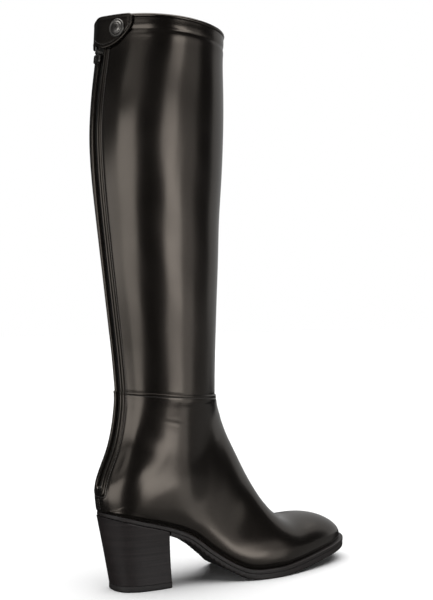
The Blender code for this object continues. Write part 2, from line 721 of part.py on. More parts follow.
def tab_edges(reach):
    """The tab's lower edge, which rises to the sewn end and in a long curve to the free one, and its upper."""
    into_nose = min(max((TAB_FREE_END + TAB_NOSE - reach) / TAB_NOSE, 0.0), 1.0)
    into_corner = min(max((TAB_FREE_END + TAB_CORNER - reach) / TAB_CORNER, 0.0), 1.0)
    fall = (1 - into_nose ** TAB_NOSE_POWER) ** (1 / TAB_NOSE_POWER)
    rise = math.sqrt(1 - into_corner ** 2)
    into_sewn = min(max((reach - TAB_SEWN_FROM) / (TAB_SEWN_FULL - TAB_SEWN_FROM), 0.0), 1.0)
    low = TAB_LOW_Z + TAB_SEWN_RISE * into_sewn * into_sewn * (3 - 2 * into_sewn)
    return (TAB_NOSE_Z - (TAB_NOSE_Z - low) * fall,
            TAB_NOSE_Z + (BACK_Z(TOP) + TAB_RISE - TAB_NOSE_Z) * rise)


def tab_point(along, across, out):
    """A point of the snap tab: along from sewn to free end, across from its lower to its upper edge."""
    reach = TAB_SEWN_END + (TAB_FREE_END - TAB_SEWN_END) * along
    low, high = tab_edges(reach)
    z = (low + high) / 2 + (high - low) / 2 * across
    row = back_row(min(z, BACK_Z(TOP)))
    bridge = TAB_BRIDGE * math.exp(-(reach / TAB_BRIDGE_REACH) ** 2) * (1 + TAB_BRIDGE_LOW * (1 - across))
    spot = off_back(row, reach, TAB_CLEAR + bridge + out)
    spot[2] += max(z - BACK_Z(TOP), 0.0)
    return spot


def make_snap_tab():
    lengthwise, crosswise = 23, 5

    def place(i, j):
        return tab_point(math.sin(i / (lengthwise - 1) * math.pi / 2), 2 * j / (crosswise - 1) - 1, 0.0)

    bm = grid_sheet(lengthwise, crosswise, place)
    outer = {}
    row_of, column_of = bm.verts.layers.int["row"], bm.verts.layers.int["column"]
    for vert in bm.verts:
        along = math.sin(vert[row_of] / (lengthwise - 1) * math.pi / 2)
        across = 2 * vert[column_of] / (crosswise - 1) - 1
        outer[vert.index] = Vector(tab_point(along, across, TAB_THICK)) * MM
    bm.verts.index_update()
    wall_from(bm, lambda vert: outer[vert.index])
    close_up(bm, caps=False)
    return new_object("snap_tab", bm, LEATHER, 0.4)


def turned(profile, steps):
    """A solid turned about Z from a profile of (radius, height) whose ends lie on the axis."""
    bm = bmesh.new()
    verts = [bm.verts.new((radius * MM, 0.0, height * MM)) for radius, height in profile]
    edges = [bm.edges.new(pair) for pair in zip(verts, verts[1:])]
    bmesh.ops.spin(bm, geom=verts + edges, cent=(0, 0, 0), axis=(0, 0, 1), angle=2 * math.pi,
                   steps=steps, use_merge=True)
    close_up(bm, caps=False)
    return bm


def back_frame(row, reach, out):
    """A frame standing on the leg near its back: X across, Y up along the leg, Z outwards."""
    origin = Vector(off_back(row, reach, out)) * MM
    normal = Vector(back_normal(row, reach))
    up = Vector((0, 0, 1)) - normal * normal.z
    up.normalize()
    across = up.cross(normal)
    turn = Matrix((across, up, normal)).transposed().to_4x4()
    return Matrix.Translation(origin) @ turn


def make_snap_cap():
    """The snap's cap: a rounded rim and a low dome inside it."""
    profile = [(0.0, 0.0)] + [(CAP_RADIUS - inset, height) for inset, height in CAP_RIM]
    dome_radius = CAP_RADIUS - CAP_DOME_INSET
    for share in np.linspace(0.0, 1.0, CAP_DOME_STEPS + 1):
        height = CAP_DOME_FOOT + (CAP_HEIGHT - CAP_DOME_FOOT) * math.sin(share * math.pi / 2)
        profile.append((dome_radius * (1 - share), height))
    bm = turned(profile, 22)
    row = back_row(CAP_Z)
    bridge = TAB_BRIDGE * math.exp(-(CAP_REACH / TAB_BRIDGE_REACH) ** 2)
    seat = TAB_CLEAR + bridge + TAB_THICK + GAP
    bm.transform(back_frame(row, CAP_REACH, seat))
    return new_object("snap_cap", bm, (0.2, 0.19, 0.18), 0.35, metallic=1.0)


def block(size, centre, edge=0.0):
    """A box of a size about a centre, with its edges rounded, in millimetres."""
    bm = bmesh.new()
    place = Matrix.Translation(Vector(centre) * MM) @ Matrix.Diagonal((*(Vector(size) * MM), 1.0))
    bmesh.ops.create_cube(bm, size=1.0, matrix=place)
    if edge > 0:
        bmesh.ops.bevel(bm, geom=bm.edges[:], offset=edge * MM, offset_type="OFFSET", affect="EDGES",
                        segments=2, profile=0.5, material=-1)
    return bm


def rod_across(radius, half_length, height, sides=16):
    """A rod along X at a height above the slider's seat."""
    bm = bmesh.new()
    turn = Matrix.Translation((0, 0, height * MM)) @ Matrix.Rotation(math.pi / 2, 4, "Y")
    bmesh.ops.create_cone(bm, cap_ends=True, segments=sides, radius1=radius * MM, radius2=radius * MM,
                          depth=2 * half_length * MM, matrix=turn)
    return bm


def combine(piece, bm, operation):
    """Unite or cut a piece with a helper shape, and leave only the result."""
    mesh = bpy.data.meshes.new("helper")
    bm.to_mesh(mesh)
    bm.free()
    helper = bpy.data.objects.new("helper", mesh)
    bpy.context.scene.collection.objects.link(helper)
    modifier = piece.modifiers.new("combine", "BOOLEAN")
    modifier.operation = operation
    modifier.solver = "EXACT"
    modifier.object = helper
    bpy.context.view_layer.update()
    joined = bpy.data.meshes.new_from_object(piece.evaluated_get(bpy.context.evaluated_depsgraph_get()))
    piece.modifiers.remove(modifier)
    piece.data = joined
    bpy.data.objects.remove(helper)


METAL = (0.23, 0.22, 0.21)


def slider_seat():
    return back_frame(back_row(PIN_Z), 0.0, -CHAIN_SUNK + GAP)


def make_zip_slider():
    """The slider: a plate on the chain, and two ears that hold the pull's pin."""
    length = SLIDER_UP + SLIDER_DOWN
    middle = (0, SLIDER_UP - length / 2, SLIDER_THICK / 2)
    plate = block((2 * SLIDER_HALF, length, SLIDER_THICK), middle, SLIDER_EDGE)
    slider = new_object("zip_slider", plate, METAL, 0.4, metallic=1.0)
    ear_height = PIN_HEIGHT + EAR_HALF - SLIDER_THICK / 2
    for side in (OUTER, INNER):
        centre = (side * (EAR_INNER + EAR_THICK / 2), 0.0, SLIDER_THICK / 2 + ear_height / 2)
        combine(slider, block((EAR_THICK, 2 * EAR_HALF, ear_height), centre, EAR_EDGE), "UNION")
    combine(slider, rod_across(PIN_RADIUS, EAR_INNER + EAR_THICK / 2, PIN_HEIGHT), "UNION")
    slider.data.transform(slider_seat())
    return slider


def make_zip_pull():
    """The pull: an eye on the pin and a plate with a window, hanging along the zip."""
    plate_length = PULL_LENGTH - PULL_NECK
    plate_middle = -PULL_NECK - plate_length / 2
    eye = rod_across(PULL_EYE_RADIUS, PULL_EYE_HALF, 0.0, sides=20)
    pull = new_object("zip_pull", eye, METAL, 0.35, metallic=1.0)
    neck_length = PULL_NECK + PULL_NECK_SUNK
    neck = block((PULL_NECK_WIDTH, neck_length, PULL_NECK_THICK), (0, -neck_length / 2, 0))
    combine(pull, neck, "UNION")
    plate = block((2 * PULL_HALF, plate_length, PULL_THICK), (0, plate_middle, 0))
    corners = [edge for edge in plate.edges
               if abs(edge.verts[0].co.z - edge.verts[1].co.z) > PULL_THICK * MM / 2]
    low_corners = [edge for edge in corners if edge.verts[0].co.y < plate_middle * MM]
    high_corners = [edge for edge in corners if edge not in low_corners]
    bmesh.ops.bevel(plate, geom=low_corners, offset=PULL_ROUND * MM, offset_type="OFFSET", affect="EDGES",
                    segments=5, profile=0.5, material=-1)
    bmesh.ops.bevel(plate, geom=[edge for edge in high_corners if edge.is_valid], offset=PULL_SHOULDER * MM,
                    offset_type="OFFSET", affect="EDGES", segments=3, profile=0.5, material=-1)
    combine(pull, plate, "UNION")
    combine(pull, rod_across(PULL_EYE_HOLE, PULL_EYE_HALF * 2, 0.0), "DIFFERENCE")
    window = block((2 * PULL_WINDOW_HALF, PULL_WINDOW_LENGTH, PULL_THICK * 3), (0, plate_middle, 0))
    combine(pull, window, "DIFFERENCE")
    hinge = bpy.data.objects.new("pull_hinge", None)
    bpy.context.scene.collection.objects.link(hinge)
    hinge.matrix_world = slider_seat() @ Matrix.Translation((0, 0, PIN_HEIGHT * MM))
    pull.parent = hinge
    return pull


def main():
    for item in list(bpy.data.objects):
        bpy.data.objects.remove(item, do_unlink=True)
    make_upper()
    make_insole()
    make_welt()
    make_outsole()
    make_heel()
    make_top_lift()
    make_topline_bead()
    make_zip_tape()
    make_snap_tab()
    make_snap_cap()
    make_zip_slider()
    make_zip_pull()
    bpy.context.view_layer.update()


main()
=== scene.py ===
"""The looks of a tall leather boot for the right foot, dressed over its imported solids.

Tables and sizes are in millimetres and objects in metres, in the frame of the solids: +X points to the toe,
+Y to the inner side of the foot and +Z up. The origin lies on the floor, under the middle of the heel.
"""
import math

import bmesh
import bpy
import numpy as np
from mathutils import Matrix, Vector


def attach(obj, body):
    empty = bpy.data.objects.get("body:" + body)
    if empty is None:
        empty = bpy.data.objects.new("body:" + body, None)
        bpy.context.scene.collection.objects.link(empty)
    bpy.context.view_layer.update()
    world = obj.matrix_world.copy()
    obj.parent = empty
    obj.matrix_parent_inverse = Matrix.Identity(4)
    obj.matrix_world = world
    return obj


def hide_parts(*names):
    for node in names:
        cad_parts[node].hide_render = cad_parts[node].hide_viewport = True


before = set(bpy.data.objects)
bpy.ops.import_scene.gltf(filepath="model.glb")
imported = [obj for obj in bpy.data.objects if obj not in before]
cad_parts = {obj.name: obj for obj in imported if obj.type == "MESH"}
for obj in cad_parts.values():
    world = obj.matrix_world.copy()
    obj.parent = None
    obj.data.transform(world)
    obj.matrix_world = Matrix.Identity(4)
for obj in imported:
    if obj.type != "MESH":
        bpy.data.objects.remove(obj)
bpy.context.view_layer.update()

MM = 0.001
OUTER = -1
INNER = 1

# Clearances and thickness, as in the solids
GAP = 0.3
WELT_THICK = 3.0
SEAT_CLEAR = 0.3

# The sole along the boot: the height of the feather edge, where the upper meets the sole, on the outer
# side, how much higher it lies on the inner side, how far welt and outsole stand out past it, and the
# outsole's thickness
SOLE_COLUMNS = ("x", "feather_z", "arch", "welt_out", "sole_out", "sole_thick")
SOLE = (
    (-50.0, 69.4, 0.0, 1.2, 0.9, 3.4),
    (-38.0, 66.0, 0.0, 1.2, 0.9, 3.4),
    (-12.0, 58.9, 0.0, 1.2, 0.9, 3.4),
    (13.0, 51.9, 0.0, 1.2, 0.9, 3.4),
    (34.0, 43.2, 5.0, 1.9, 1.0, 3.4),
    (56.0, 27.6, 8.0, 2.5, 1.7, 3.6),
    (75.0, 15.9, 5.6, 3.0, 2.5, 4.2),
    (88.0, 10.3, 2.0, 3.4, 3.1, 4.7),
    (99.0, 8.6, 0.0, 3.5, 3.3, 5.0),
    (117.0, 8.6, 0.0, 3.6, 3.4, 5.0),
    (140.0, 10.8, 0.0, 3.6, 3.4, 5.0),
    (170.0, 14.9, 0.0, 3.6, 3.4, 5.0),
    (200.0, 18.6, 0.0, 3.6, 3.4, 5.0),
    (235.0, 22.4, 0.0, 3.6, 3.4, 5.0),
)
ARCH_FROM_Y = -27.0
ARCH_TO_Y = 22.0

# Sections of the foot, from the toe to the back of the heel. Each stands on the feather edge (seat, half)
# and closes on the ridge over the foot. Wide is the largest half-width to the outer and the inner side,
# lift its height as a share of the section, crown and cup the squareness above and below it.
FOOT_COLUMNS = ("seat_x", "seat_y", "half", "ridge_x", "ridge_y", "ridge_z",
                "wide_out", "wide_in", "lift", "crown", "cup")
FOOT = (
    (215.0, 8.0, 0.0, 213.9, 8.0, 25.8, 0.0, 0.0, 0.30, 2.00, 2.2),
    (213.2, 7.9, 9.0, 211.2, 7.8, 29.0, 9.4, 9.4, 0.30, 2.00, 2.2),
    (208.2, 7.8, 17.4, 204.8, 7.6, 33.8, 18.1, 18.1, 0.30, 2.05, 2.2),
    (199.8, 7.6, 24.6, 194.8, 7.2, 38.9, 25.5, 25.5, 0.30, 2.10, 2.2),
    (187.0, 7.0, 30.6, 181.0, 6.6, 42.4, 31.8, 31.8, 0.30, 2.15, 2.2),
    (170.4, 6.0, 35.1, 164.6, 5.4, 43.0, 36.6, 36.6, 0.30, 2.20, 2.2),
    (150.6, 4.4, 38.4, 147.4, 3.8, 43.4, 40.2, 40.2, 0.28, 2.15, 2.2),
    (129.0, 2.0, 40.0, 132.4, 1.8, 49.0, 42.0, 42.0, 0.26, 2.10, 2.2),
    (107.0, -0.8, 38.4, 119.8, 0.4, 60.6, 40.6, 40.8, 0.24, 2.00, 2.2),
    (85.0, -3.6, 32.2, 110.4, -0.6, 74.0, 35.6, 36.8, 0.24, 1.95, 2.2),
    (61.0, -5.0, 24.8, 102.6, -1.0, 87.5, 29.4, 32.4, 0.25, 1.95, 2.2),
    (36.0, -3.6, 22.8, 95.6, -1.0, 100.0, 28.0, 30.4, 0.27, 2.00, 2.2),
    (11.0, -1.4, 24.2, 89.8, -0.6, 111.0, 28.8, 30.0, 0.30, 2.00, 2.2),
    (-13.0, 0.0, 24.0, 85.6, -0.2, 119.0, 29.3, 29.5, 0.33, 2.00, 2.2),
    (-30.0, 0.0, 16.5, 83.0, 0.0, 124.5, 29.2, 29.2, 0.36, 2.00, 2.2),
    (-37.0, 0.0, 0.0, 81.2, 0.0, 128.5, 29.0, 29.0, 0.38, 2.00, 2.2),
)

# Sections of the leg, from the heel cup up to the topline. Each runs from the centre back to the front.
LEG_COLUMNS = ("back_x", "back_z", "mid_y", "front_x", "front_z", "wide", "lift", "crown", "cup")
LEG = (
    (-38.6, 80.0, 0.0, 79.0, 133.5, 28.8, 0.40, 2.00, 2.15),
    (-35.6, 95.0, 0.0, 77.0, 139.0, 28.4, 0.42, 2.00, 2.05),
    (-28.6, 112.0, 0.0, 74.8, 144.5, 28.4, 0.44, 2.00, 1.98),
    (-23.6, 130.0, 0.0, 73.0, 149.0, 29.2, 0.46, 2.00, 1.92),
    (-21.0, 147.0, 0.0, 71.4, 153.0, 31.0, 0.47, 2.00, 1.88),
    (-20.6, 163.0, 0.0, 70.4, 157.0, 33.0, 0.48, 2.00, 1.86),
    (-24.6, 200.0, -0.6, 69.4, 195.0, 35.8, 0.49, 2.05, 1.86),
    (-30.0, 238.0, -1.6, 69.0, 233.0, 38.8, 0.49, 2.10, 1.86),
    (-35.8, 280.0, -2.6, 69.0, 275.0, 42.0, 0.49, 2.10, 1.87),
    (-41.2, 321.0, -3.8, 69.4, 316.0, 45.4, 0.48, 2.10, 1.88),
    (-45.4, 371.0, -5.6, 70.0, 364.5, 49.2, 0.48, 2.10, 1.90),
    (-42.4, 413.0, -6.0, 69.4, 406.0, 51.0, 0.48, 2.10, 1.90),
    (-38.6, 440.0, -6.2, 67.8, 432.5, 52.4, 0.48, 2.10, 1.90),
    (-36.8, 463.0, -6.2, 67.6, 454.5, 54.0, 0.48, 2.10, 1.90),
)
HEEL_BACK = len(FOOT) - 1
TOP = len(FOOT) + len(LEG) - 1
SEAM_ROW = HEEL_BACK + 6
SECTION_POINTS = 420


def interval(knots, t):
    """A parameter kept within the knots, and the index of the interval that it lies in."""
    t = min(max(t, knots[0]), knots[-1])
    return t, min(int(np.searchsorted(knots, t, side="right")) - 1, len(knots) - 2)


def cubic_through(knots, values, flat_start=False, flat_end=False):
    """A smooth curve through values at knots, natural at its ends or flat there."""
    x = np.asarray(knots, float)
    y = np.asarray(values, float)
    count = len(x)
    h = np.diff(x)
    matrix = np.zeros((count, count))
    right = np.zeros(count)
    for i in range(1, count - 1):
        matrix[i, i - 1:i + 2] = h[i - 1], 2 * (h[i - 1] + h[i]), h[i]
        right[i] = 6 * ((y[i + 1] - y[i]) / h[i] - (y[i] - y[i - 1]) / h[i - 1])
    matrix[0, 0] = 1.0
    matrix[-1, -1] = 1.0
    if flat_start:
        matrix[0, :2] = 2 * h[0], h[0]
        right[0] = 6 * (y[1] - y[0]) / h[0]
    if flat_end:
        matrix[-1, -2:] = h[-1], 2 * h[-1]
        right[-1] = -6 * (y[-1] - y[-2]) / h[-1]
    bend = np.linalg.solve(matrix, right)

    def at(t):
        t, i = interval(x, t)
        low, high = x[i + 1] - t, t - x[i]
        return float((bend[i] * low ** 3 + bend[i + 1] * high ** 3) / (6 * h[i])
                     + (y[i] / h[i] - bend[i] * h[i] / 6) * low
                     + (y[i + 1] / h[i] - bend[i + 1] * h[i] / 6) * high)
    return at


def steady_through(knots, values):
    """A curve through values at knots that never overshoots them."""
    x = np.asarray(knots, float)
    y = np.asarray(values, float)
    h = np.diff(x)
    rise = np.diff(y) / h
    slope = np.zeros(len(x))
    for i in range(1, len(x) - 1):
        if rise[i - 1] * rise[i] > 0:
            a, b = 2 * h[i] + h[i - 1], h[i] + 2 * h[i - 1]
            slope[i] = (a + b) / (a / rise[i - 1] + b / rise[i])
    slope[0], slope[-1] = rise[0], rise[-1]

    def at(t):
        t, i = interval(x, t)
        u = (t - x[i]) / h[i]
        return float((1 + 2 * u) * (1 - u) ** 2 * y[i] + u * (1 - u) ** 2 * h[i] * slope[i]
                     + u * u * (3 - 2 * u) * y[i + 1] + u * u * (u - 1) * h[i] * slope[i + 1])
    return at


def eased(curve):
    """A curve of the back that sets out slowly from the heel, so that foot and leg join without a fold."""
    def at(row):
        up = max(row - HEEL_BACK, 0.0)
        return curve(HEEL_BACK + (up * up * (2 - up) if up < 1 else up))
    return at


def foot_column(name):
    return [row[FOOT_COLUMNS.index(name)] for row in FOOT]


def leg_column(name):
    return [row[LEG_COLUMNS.index(name)] for row in LEG]


def sole_curve(name):
    return steady_through([row[0] for row in SOLE], [row[SOLE_COLUMNS.index(name)] for row in SOLE])


def whole_curve(foot_name, leg_name, flat_start=False):
    """A curve over all rows, from a column of the foot and one of the leg."""
    return cubic_through(ALL_ROWS, foot_column(foot_name) + leg_column(leg_name), flat_start)


FEATHER, ARCH, WELT_OUT, SOLE_OUT, SOLE_THICK = (sole_curve(name) for name in SOLE_COLUMNS[1:])
FOOT_ROWS = list(range(HEEL_BACK + 1))
BACK_ROWS = list(range(HEEL_BACK, TOP + 1))
ALL_ROWS = list(range(TOP + 1))
SEAT_X = cubic_through(FOOT_ROWS, foot_column("seat_x"), flat_start=True, flat_end=True)
SEAT_Y = cubic_through(FOOT_ROWS, foot_column("seat_y"), flat_start=True)
HALF = cubic_through(FOOT_ROWS, foot_column("half"))
BACK_X = eased(cubic_through(BACK_ROWS, foot_column("seat_x")[-1:] + leg_column("back_x")))
BACK_Z = eased(steady_through(BACK_ROWS, [FEATHER(FOOT[-1][0])] + leg_column("back_z")))
BACK_Y = eased(cubic_through(BACK_ROWS, foot_column("seat_y")[-1:] + leg_column("mid_y")))
RIDGE_X = whole_curve("ridge_x", "front_x", flat_start=True)
RIDGE_Y = whole_curve("ridge_y", "mid_y", flat_start=True)
RIDGE_Z = whole_curve("ridge_z", "front_z", flat_start=True)
WIDE = {OUTER: whole_curve("wide_out", "wide"), INNER: whole_curve("wide_in", "wide")}
LIFT = whole_curve("lift", "lift")
CROWN = whole_curve("crown", "crown")
CUP = whole_curve("cup", "cup")


def feather_z(x, y):
    """The height of the feather edge, raised towards the inner side under the arch."""
    return FEATHER(x) + ARCH(x) * (y - ARCH_FROM_Y) / (ARCH_TO_Y - ARCH_FROM_Y)


def row_at(curve, value, first, last):
    """The row between first and last at which a curve that only rises or only falls meets value."""
    rising = curve(last) > curve(first)
    for _ in range(50):
        middle = (first + last) / 2
        if (curve(middle) < value) == rising:
            first = middle
        else:
            last = middle
    return (first + last) / 2


def back_row(z):
    return row_at(BACK_Z, z, HEEL_BACK, TOP)


def run_length(points):
    """The distance along a path at each of its points."""
    return np.concatenate(([0.0], np.cumsum(np.linalg.norm(np.diff(points, axis=0), axis=1))))


def points_at(distance, run, points):
    """Points of a path, or directions along it, at distances from its start."""
    return np.stack([np.interp(distance, run, points[:, axis]) for axis in range(3)], axis=-1)


def unit(vectors):
    return vectors / np.linalg.norm(vectors, axis=-1, keepdims=True)


SECTION_CACHE = {}


def section(row):
    """Both sides of a row's section: points from its lower end or centre back to the ridge, and runs."""
    key = round(row, 7)
    if key in SECTION_CACHE:
        return SECTION_CACHE[key]
    on_foot = row <= HEEL_BACK
    if on_foot:
        seat = np.array((SEAT_X(row), SEAT_Y(row), FEATHER(SEAT_X(row))))
        end = max(HALF(row), 0.0)
    else:
        seat = np.array((BACK_X(row), BACK_Y(row), BACK_Z(row)))
        seat[2] += SEAT_CLEAR * max(1 - (row - HEEL_BACK), 0.0) ** 2
        end = 0.0
    ridge = np.array((RIDGE_X(row), RIDGE_Y(row), RIDGE_Z(row)))
    lift, crown, cup = LIFT(row), CROWN(row), CUP(row)
    sides = {}
    for side in (OUTER, INNER):
        if on_foot:
            seat[2] = feather_z(seat[0], seat[1] + side * end) + SEAT_CLEAR
        wide = max(WIDE[side](row), end + 0.0005)
        start = math.acos(min((end / wide) ** (cup / 2), 1.0))
        angle = np.linspace(-start, math.pi / 2, SECTION_POINTS)
        power = np.where(angle < 0, 2 / cup, 2 / crown)
        out = wide * np.clip(np.cos(angle), 0.0, 1.0) ** power
        sink = (np.abs(np.sin(angle)) / math.sin(start)) ** (2 / cup)
        climb = np.clip(np.sin(angle), 0.0, 1.0) ** (2 / crown)
        along = np.where(angle < 0, lift * (1 - sink), lift + (1 - lift) * climb)
        points = seat + along[:, None] * (ridge - seat)
        points[:, 1] += side * out
        points[0, 1] = seat[1] + side * end
        points[-1] = ridge
        sides[side] = (points, run_length(points))
    SECTION_CACHE[key] = sides
    return sides


def smooth_step(value, low, high):
    t = np.clip((value - low) / (high - low), 0.0, 1.0)
    return t * t * (3 - 2 * t)


def bell(value, width):
    return np.exp(-(value / width) ** 2)


def ridges(distance, forms):
    """The sum of low ridges and grooves beside a line: height, place and half width of each."""
    return sum(height * bell(distance - at, width) for height, at, width in forms)


# The zip slot and the folds beside it: distance from the centre back, or from the zip's foot, and height
ZIP_FOOT_Z = 87.0
SLOT_HALF = 3.0
PLACKET = (
    (3.0, -1.30), (3.15, -0.50), (3.4, 0.25), (3.8, 0.78), (4.3, 0.95), (4.9, 0.80), (5.35, 0.35),
    (5.7, -0.10), (6.05, 0.20), (6.4, 0.66), (7.1, 0.90), (7.8, 0.70), (8.25, 0.25), (8.6, -0.12),
    (9.2, -0.28), (9.8, -0.20), (10.5, -0.05), (11.4, 0.0),
)
PLACKET_END = 12.0
PLACKET_COLUMNS = 31
PLACKET_ROWS = (2.0, 13.0)
SIDE_COLUMNS = 82
FREE_COLUMNS = 4
STITCH_GROOVE = 9.2
VALLEY_REACH = 14.0
VALLEY_WIDTH = 4.5
VALLEY_DEPTH = 0.65
VALLEY_STARTS_Z = (84.0, 102.0)
VALLEY_FADES_Z = (170.0, 270.0)
VALLEY_FADE = 0.8
FOOT_SQUARE_FROM = (5.4, 8.6)
FOOT_SQUARE_POWER = 5
OVERLAP_STEP = 0.9
OVERLAP_FULL_ROW = 14.0
SEAM_TUCK = 7.0
SEAM_STITCH_DROP = 2.4
FACING_DROP = 9.0
FACING = ((-0.40, 0.0, 1.3), (0.14, -4.0, 2.4), (0.14, 4.0, 2.8))
SEAM_EDGE = ((0.12, -0.9, 0.7), (-0.16, -SEAM_STITCH_DROP, 0.55))
CENTRE_SEAM_ROW = 1.6
CENTRE_SEAM = ((0.12, 0.9, 0.5), (-0.35, 0.0, 0.35), (-0.12, CENTRE_SEAM_ROW, 0.45))
FIRST_ROW = 0.015
FOOT_ROW_SPACE = 2.0


def sheet_rows():
    """Rows of the leather's grid: close together round the zip's foot, at the seam and at the topline."""
    rows = []
    for first in range(HEEL_BACK):
        seat = math.hypot(SEAT_X(first + 1) - SEAT_X(first), HALF(first + 1) - HALF(first))
        ridge = math.hypot(RIDGE_X(first + 1) - RIDGE_X(first), RIDGE_Z(first + 1) - RIDGE_Z(first))
        count = math.ceil(max(seat, ridge) / FOOT_ROW_SPACE)
        rows += list(first + np.arange(count) / count)
    spaces = ((BACK_Z(HEEL_BACK), 0.9), (75.0, 0.55), (96.0, 1.8), (155.5, 0.7), (BACK_Z(SEAM_ROW), 0.8),
              (170.0, 2.2), (448.0, 0.75), (BACK_Z(TOP) - 0.3, 0.0))
    for (low, space), (high, _) in zip(spaces, spaces[1:]):
        rows += [back_row(z) for z in np.arange(low, high, space)]
    rows.append(back_row(BACK_Z(TOP)))
    rows[0] = FIRST_ROW
    return np.array(rows)


def slot_edge(z):
    """Half the slot's width at a height on the back, with its round foot."""
    up = z - ZIP_FOOT_Z
    if up >= 0:
        return SLOT_HALF
    return math.sqrt(max(SLOT_HALF ** 2 - up ** 2, 0.0))


def column_runs(row, side):
    """Distances along a section for the grid's columns: even on the foot, close together beside the zip."""
    total = section(row)[side][1][-1]
    even = np.linspace(0.0, total, SIDE_COLUMNS)
    edge = slot_edge(BACK_Z(row)) if row > HEEL_BACK else 0.0
    beside = np.concatenate((np.linspace(edge, PLACKET_END, PLACKET_COLUMNS)[:-1],
                             np.linspace(PLACKET_END, total, SIDE_COLUMNS - PLACKET_COLUMNS + 1)))
    share = float(smooth_step(row, *PLACKET_ROWS))
    return (1 - share) * even + share * beside


rows = sheet_rows()
columns = 2 * SIDE_COLUMNS - 1
base = np.zeros((len(rows), columns, 3))
reach = np.zeros((len(rows), columns))
for i, row in enumerate(rows):
    for side in (OUTER, INNER):
        points, runs = section(row)[side]
        wanted = column_runs(row, side)
        spots = points_at(wanted, runs, points)
        if side == OUTER:
            base[i, :SIDE_COLUMNS] = spots
            reach[i, :SIDE_COLUMNS] = wanted
        else:
            base[i, SIDE_COLUMNS - 1:] = spots[::-1]
            reach[i, SIDE_COLUMNS - 1:] = wanted[::-1]
on_leg = rows > HEEL_BACK
back_z = np.array([BACK_Z(row) if row > HEEL_BACK else FEATHER(SEAT_X(row)) for row in rows])


def grid_normals(points):
    """Outward directions of a grid that runs from the outer to the inner side."""
    along = np.gradient(points, axis=0)
    across = np.gradient(points, axis=1)
    normal = np.cross(along, across)
    normal /= np.linalg.norm(normal, axis=2)[:, :, None] + 1e-12
    return normal


def settle(points, weight, sparse_rows, sparse_columns, middle_x, width):
    """Even out folds round the heel: smooth the distance from an upright axis, where weight is over 0."""
    def polar(grid):
        from_axis = grid[:, :2] - (middle_x, 0.0)
        turn = np.arctan2(from_axis[:, 1], -from_axis[:, 0])
        return np.linalg.norm(from_axis, axis=1), np.stack((30.0 * turn, grid[:, 2]), axis=1)

    sparse = points[np.ix_(sparse_rows, sparse_columns)]
    cell = np.linalg.norm(np.cross(np.gradient(sparse, axis=0), np.gradient(sparse, axis=1)), axis=2).ravel()
    sparse = sparse.reshape(-1, 3)
    flat = points.reshape(-1, 3)
    share = weight.ravel()
    for side in (OUTER, INNER):
        near = sparse[:, 1] * side > -2.5 * width
        away, place = polar(sparse[near])

        def averaged(places, values):
            found = []
            for at in np.array_split(places, max(len(places) // 250, 1)):
                across, up = (at[:, None, axis] - place[None, :, axis] for axis in range(2))
                kernel = np.exp(-(across * across + up * up) / width ** 2) * cell[near]
                found.append(kernel @ values / kernel.sum(axis=1)[:, None])
            return np.concatenate(found)

        left_over = away - averaged(place, away[:, None])[:, 0]
        own = np.where((flat[:, 1] * side > 0) & (share > 0))[0]
        own_away, own_place = polar(flat[own])
        smooth = averaged(own_place, np.stack((away, left_over), axis=1)).sum(axis=1)
        change = share[own] * (smooth / own_away - 1)
        flat[own, :2] += (flat[own, :2] - (middle_x, 0.0)) * change[:, None]


# Where the leather is evened out: round the heel, clear of the feather edge and of the zip
HEEL_AXIS_X = 25.0
HEEL_SMOOTHING = 7.0
HEEL_OVER_FEATHER = (1.5, 8.0)
HEEL_UNDER_Z = (126.0, 146.0)
HEEL_BEHIND_X = (48.0, 72.0)
HEEL_FROM_ROW = (11.0, 12.5)
HEEL_OFF_ZIP = (11.5, 19.0)
above_feather = base[:, :, 2] - np.array([[feather_z(x, y) for x, y, z in line] for line in base])
heel_share = smooth_step(above_feather, *HEEL_OVER_FEATHER) * (1 - smooth_step(base[:, :, 2], *HEEL_UNDER_Z))
heel_share *= (1 - smooth_step(base[:, :, 0], *HEEL_BEHIND_X)) * smooth_step(rows, *HEEL_FROM_ROW)[:, None]
heel_share *= np.where(on_leg[:, None], smooth_step(reach, *HEEL_OFF_ZIP), 1.0)
heel_rows = [i for i, row in enumerate(rows) if 9.0 < row < 21.0]
heel_columns = [j for j in range(columns) if min(j, columns - 1 - j) % 6 == 0
                or min(j, columns - 1 - j) > PLACKET_COLUMNS]
settle(base, heel_share, heel_rows[::3], heel_columns, HEEL_AXIS_X, HEEL_SMOOTHING)
normals = grid_normals(base)
if normals[len(rows) // 2, SIDE_COLUMNS - 1, 0] < 0:
    normals = -normals
steps = np.linalg.norm(np.diff(base, axis=0), axis=2)
climb = np.concatenate((np.zeros((1, columns)), np.cumsum(steps, axis=0)))
seam_index = int(np.argmin(np.abs(rows - SEAM_ROW)))
above_seam = climb - climb[seam_index]
below_top = climb[-1] - climb

# Heights over the plain leather: folds beside the zip, a valley next to them and the centre seam below
down = np.maximum(ZIP_FOOT_Z - back_z, 0.0)[:, None]
round_foot = np.hypot(reach, down)
square_foot = (reach ** FOOT_SQUARE_POWER + down ** FOOT_SQUARE_POWER) ** (1 / FOOT_SQUARE_POWER)
squareness = smooth_step(round_foot, *FOOT_SQUARE_FROM)
zip_distance = round_foot * (1 - squareness) + square_foot * squareness
zip_distance[~on_leg] = PLACKET_END
relief = np.interp(zip_distance, *zip(*PLACKET))
relief *= 1 - 0.75 * smooth_step(down, 0.5, 2.5) * (1 - smooth_step(reach, 2.5, 5.0))
valley = smooth_step(back_z, *VALLEY_STARTS_Z) * on_leg
valley *= 1 - VALLEY_FADE * smooth_step(back_z, *VALLEY_FADES_Z)
relief -= VALLEY_DEPTH * valley[:, None] * bell(zip_distance - VALLEY_REACH, VALLEY_WIDTH)
under_zip = on_leg[:, None] & (down > STITCH_GROOVE + 1.0)
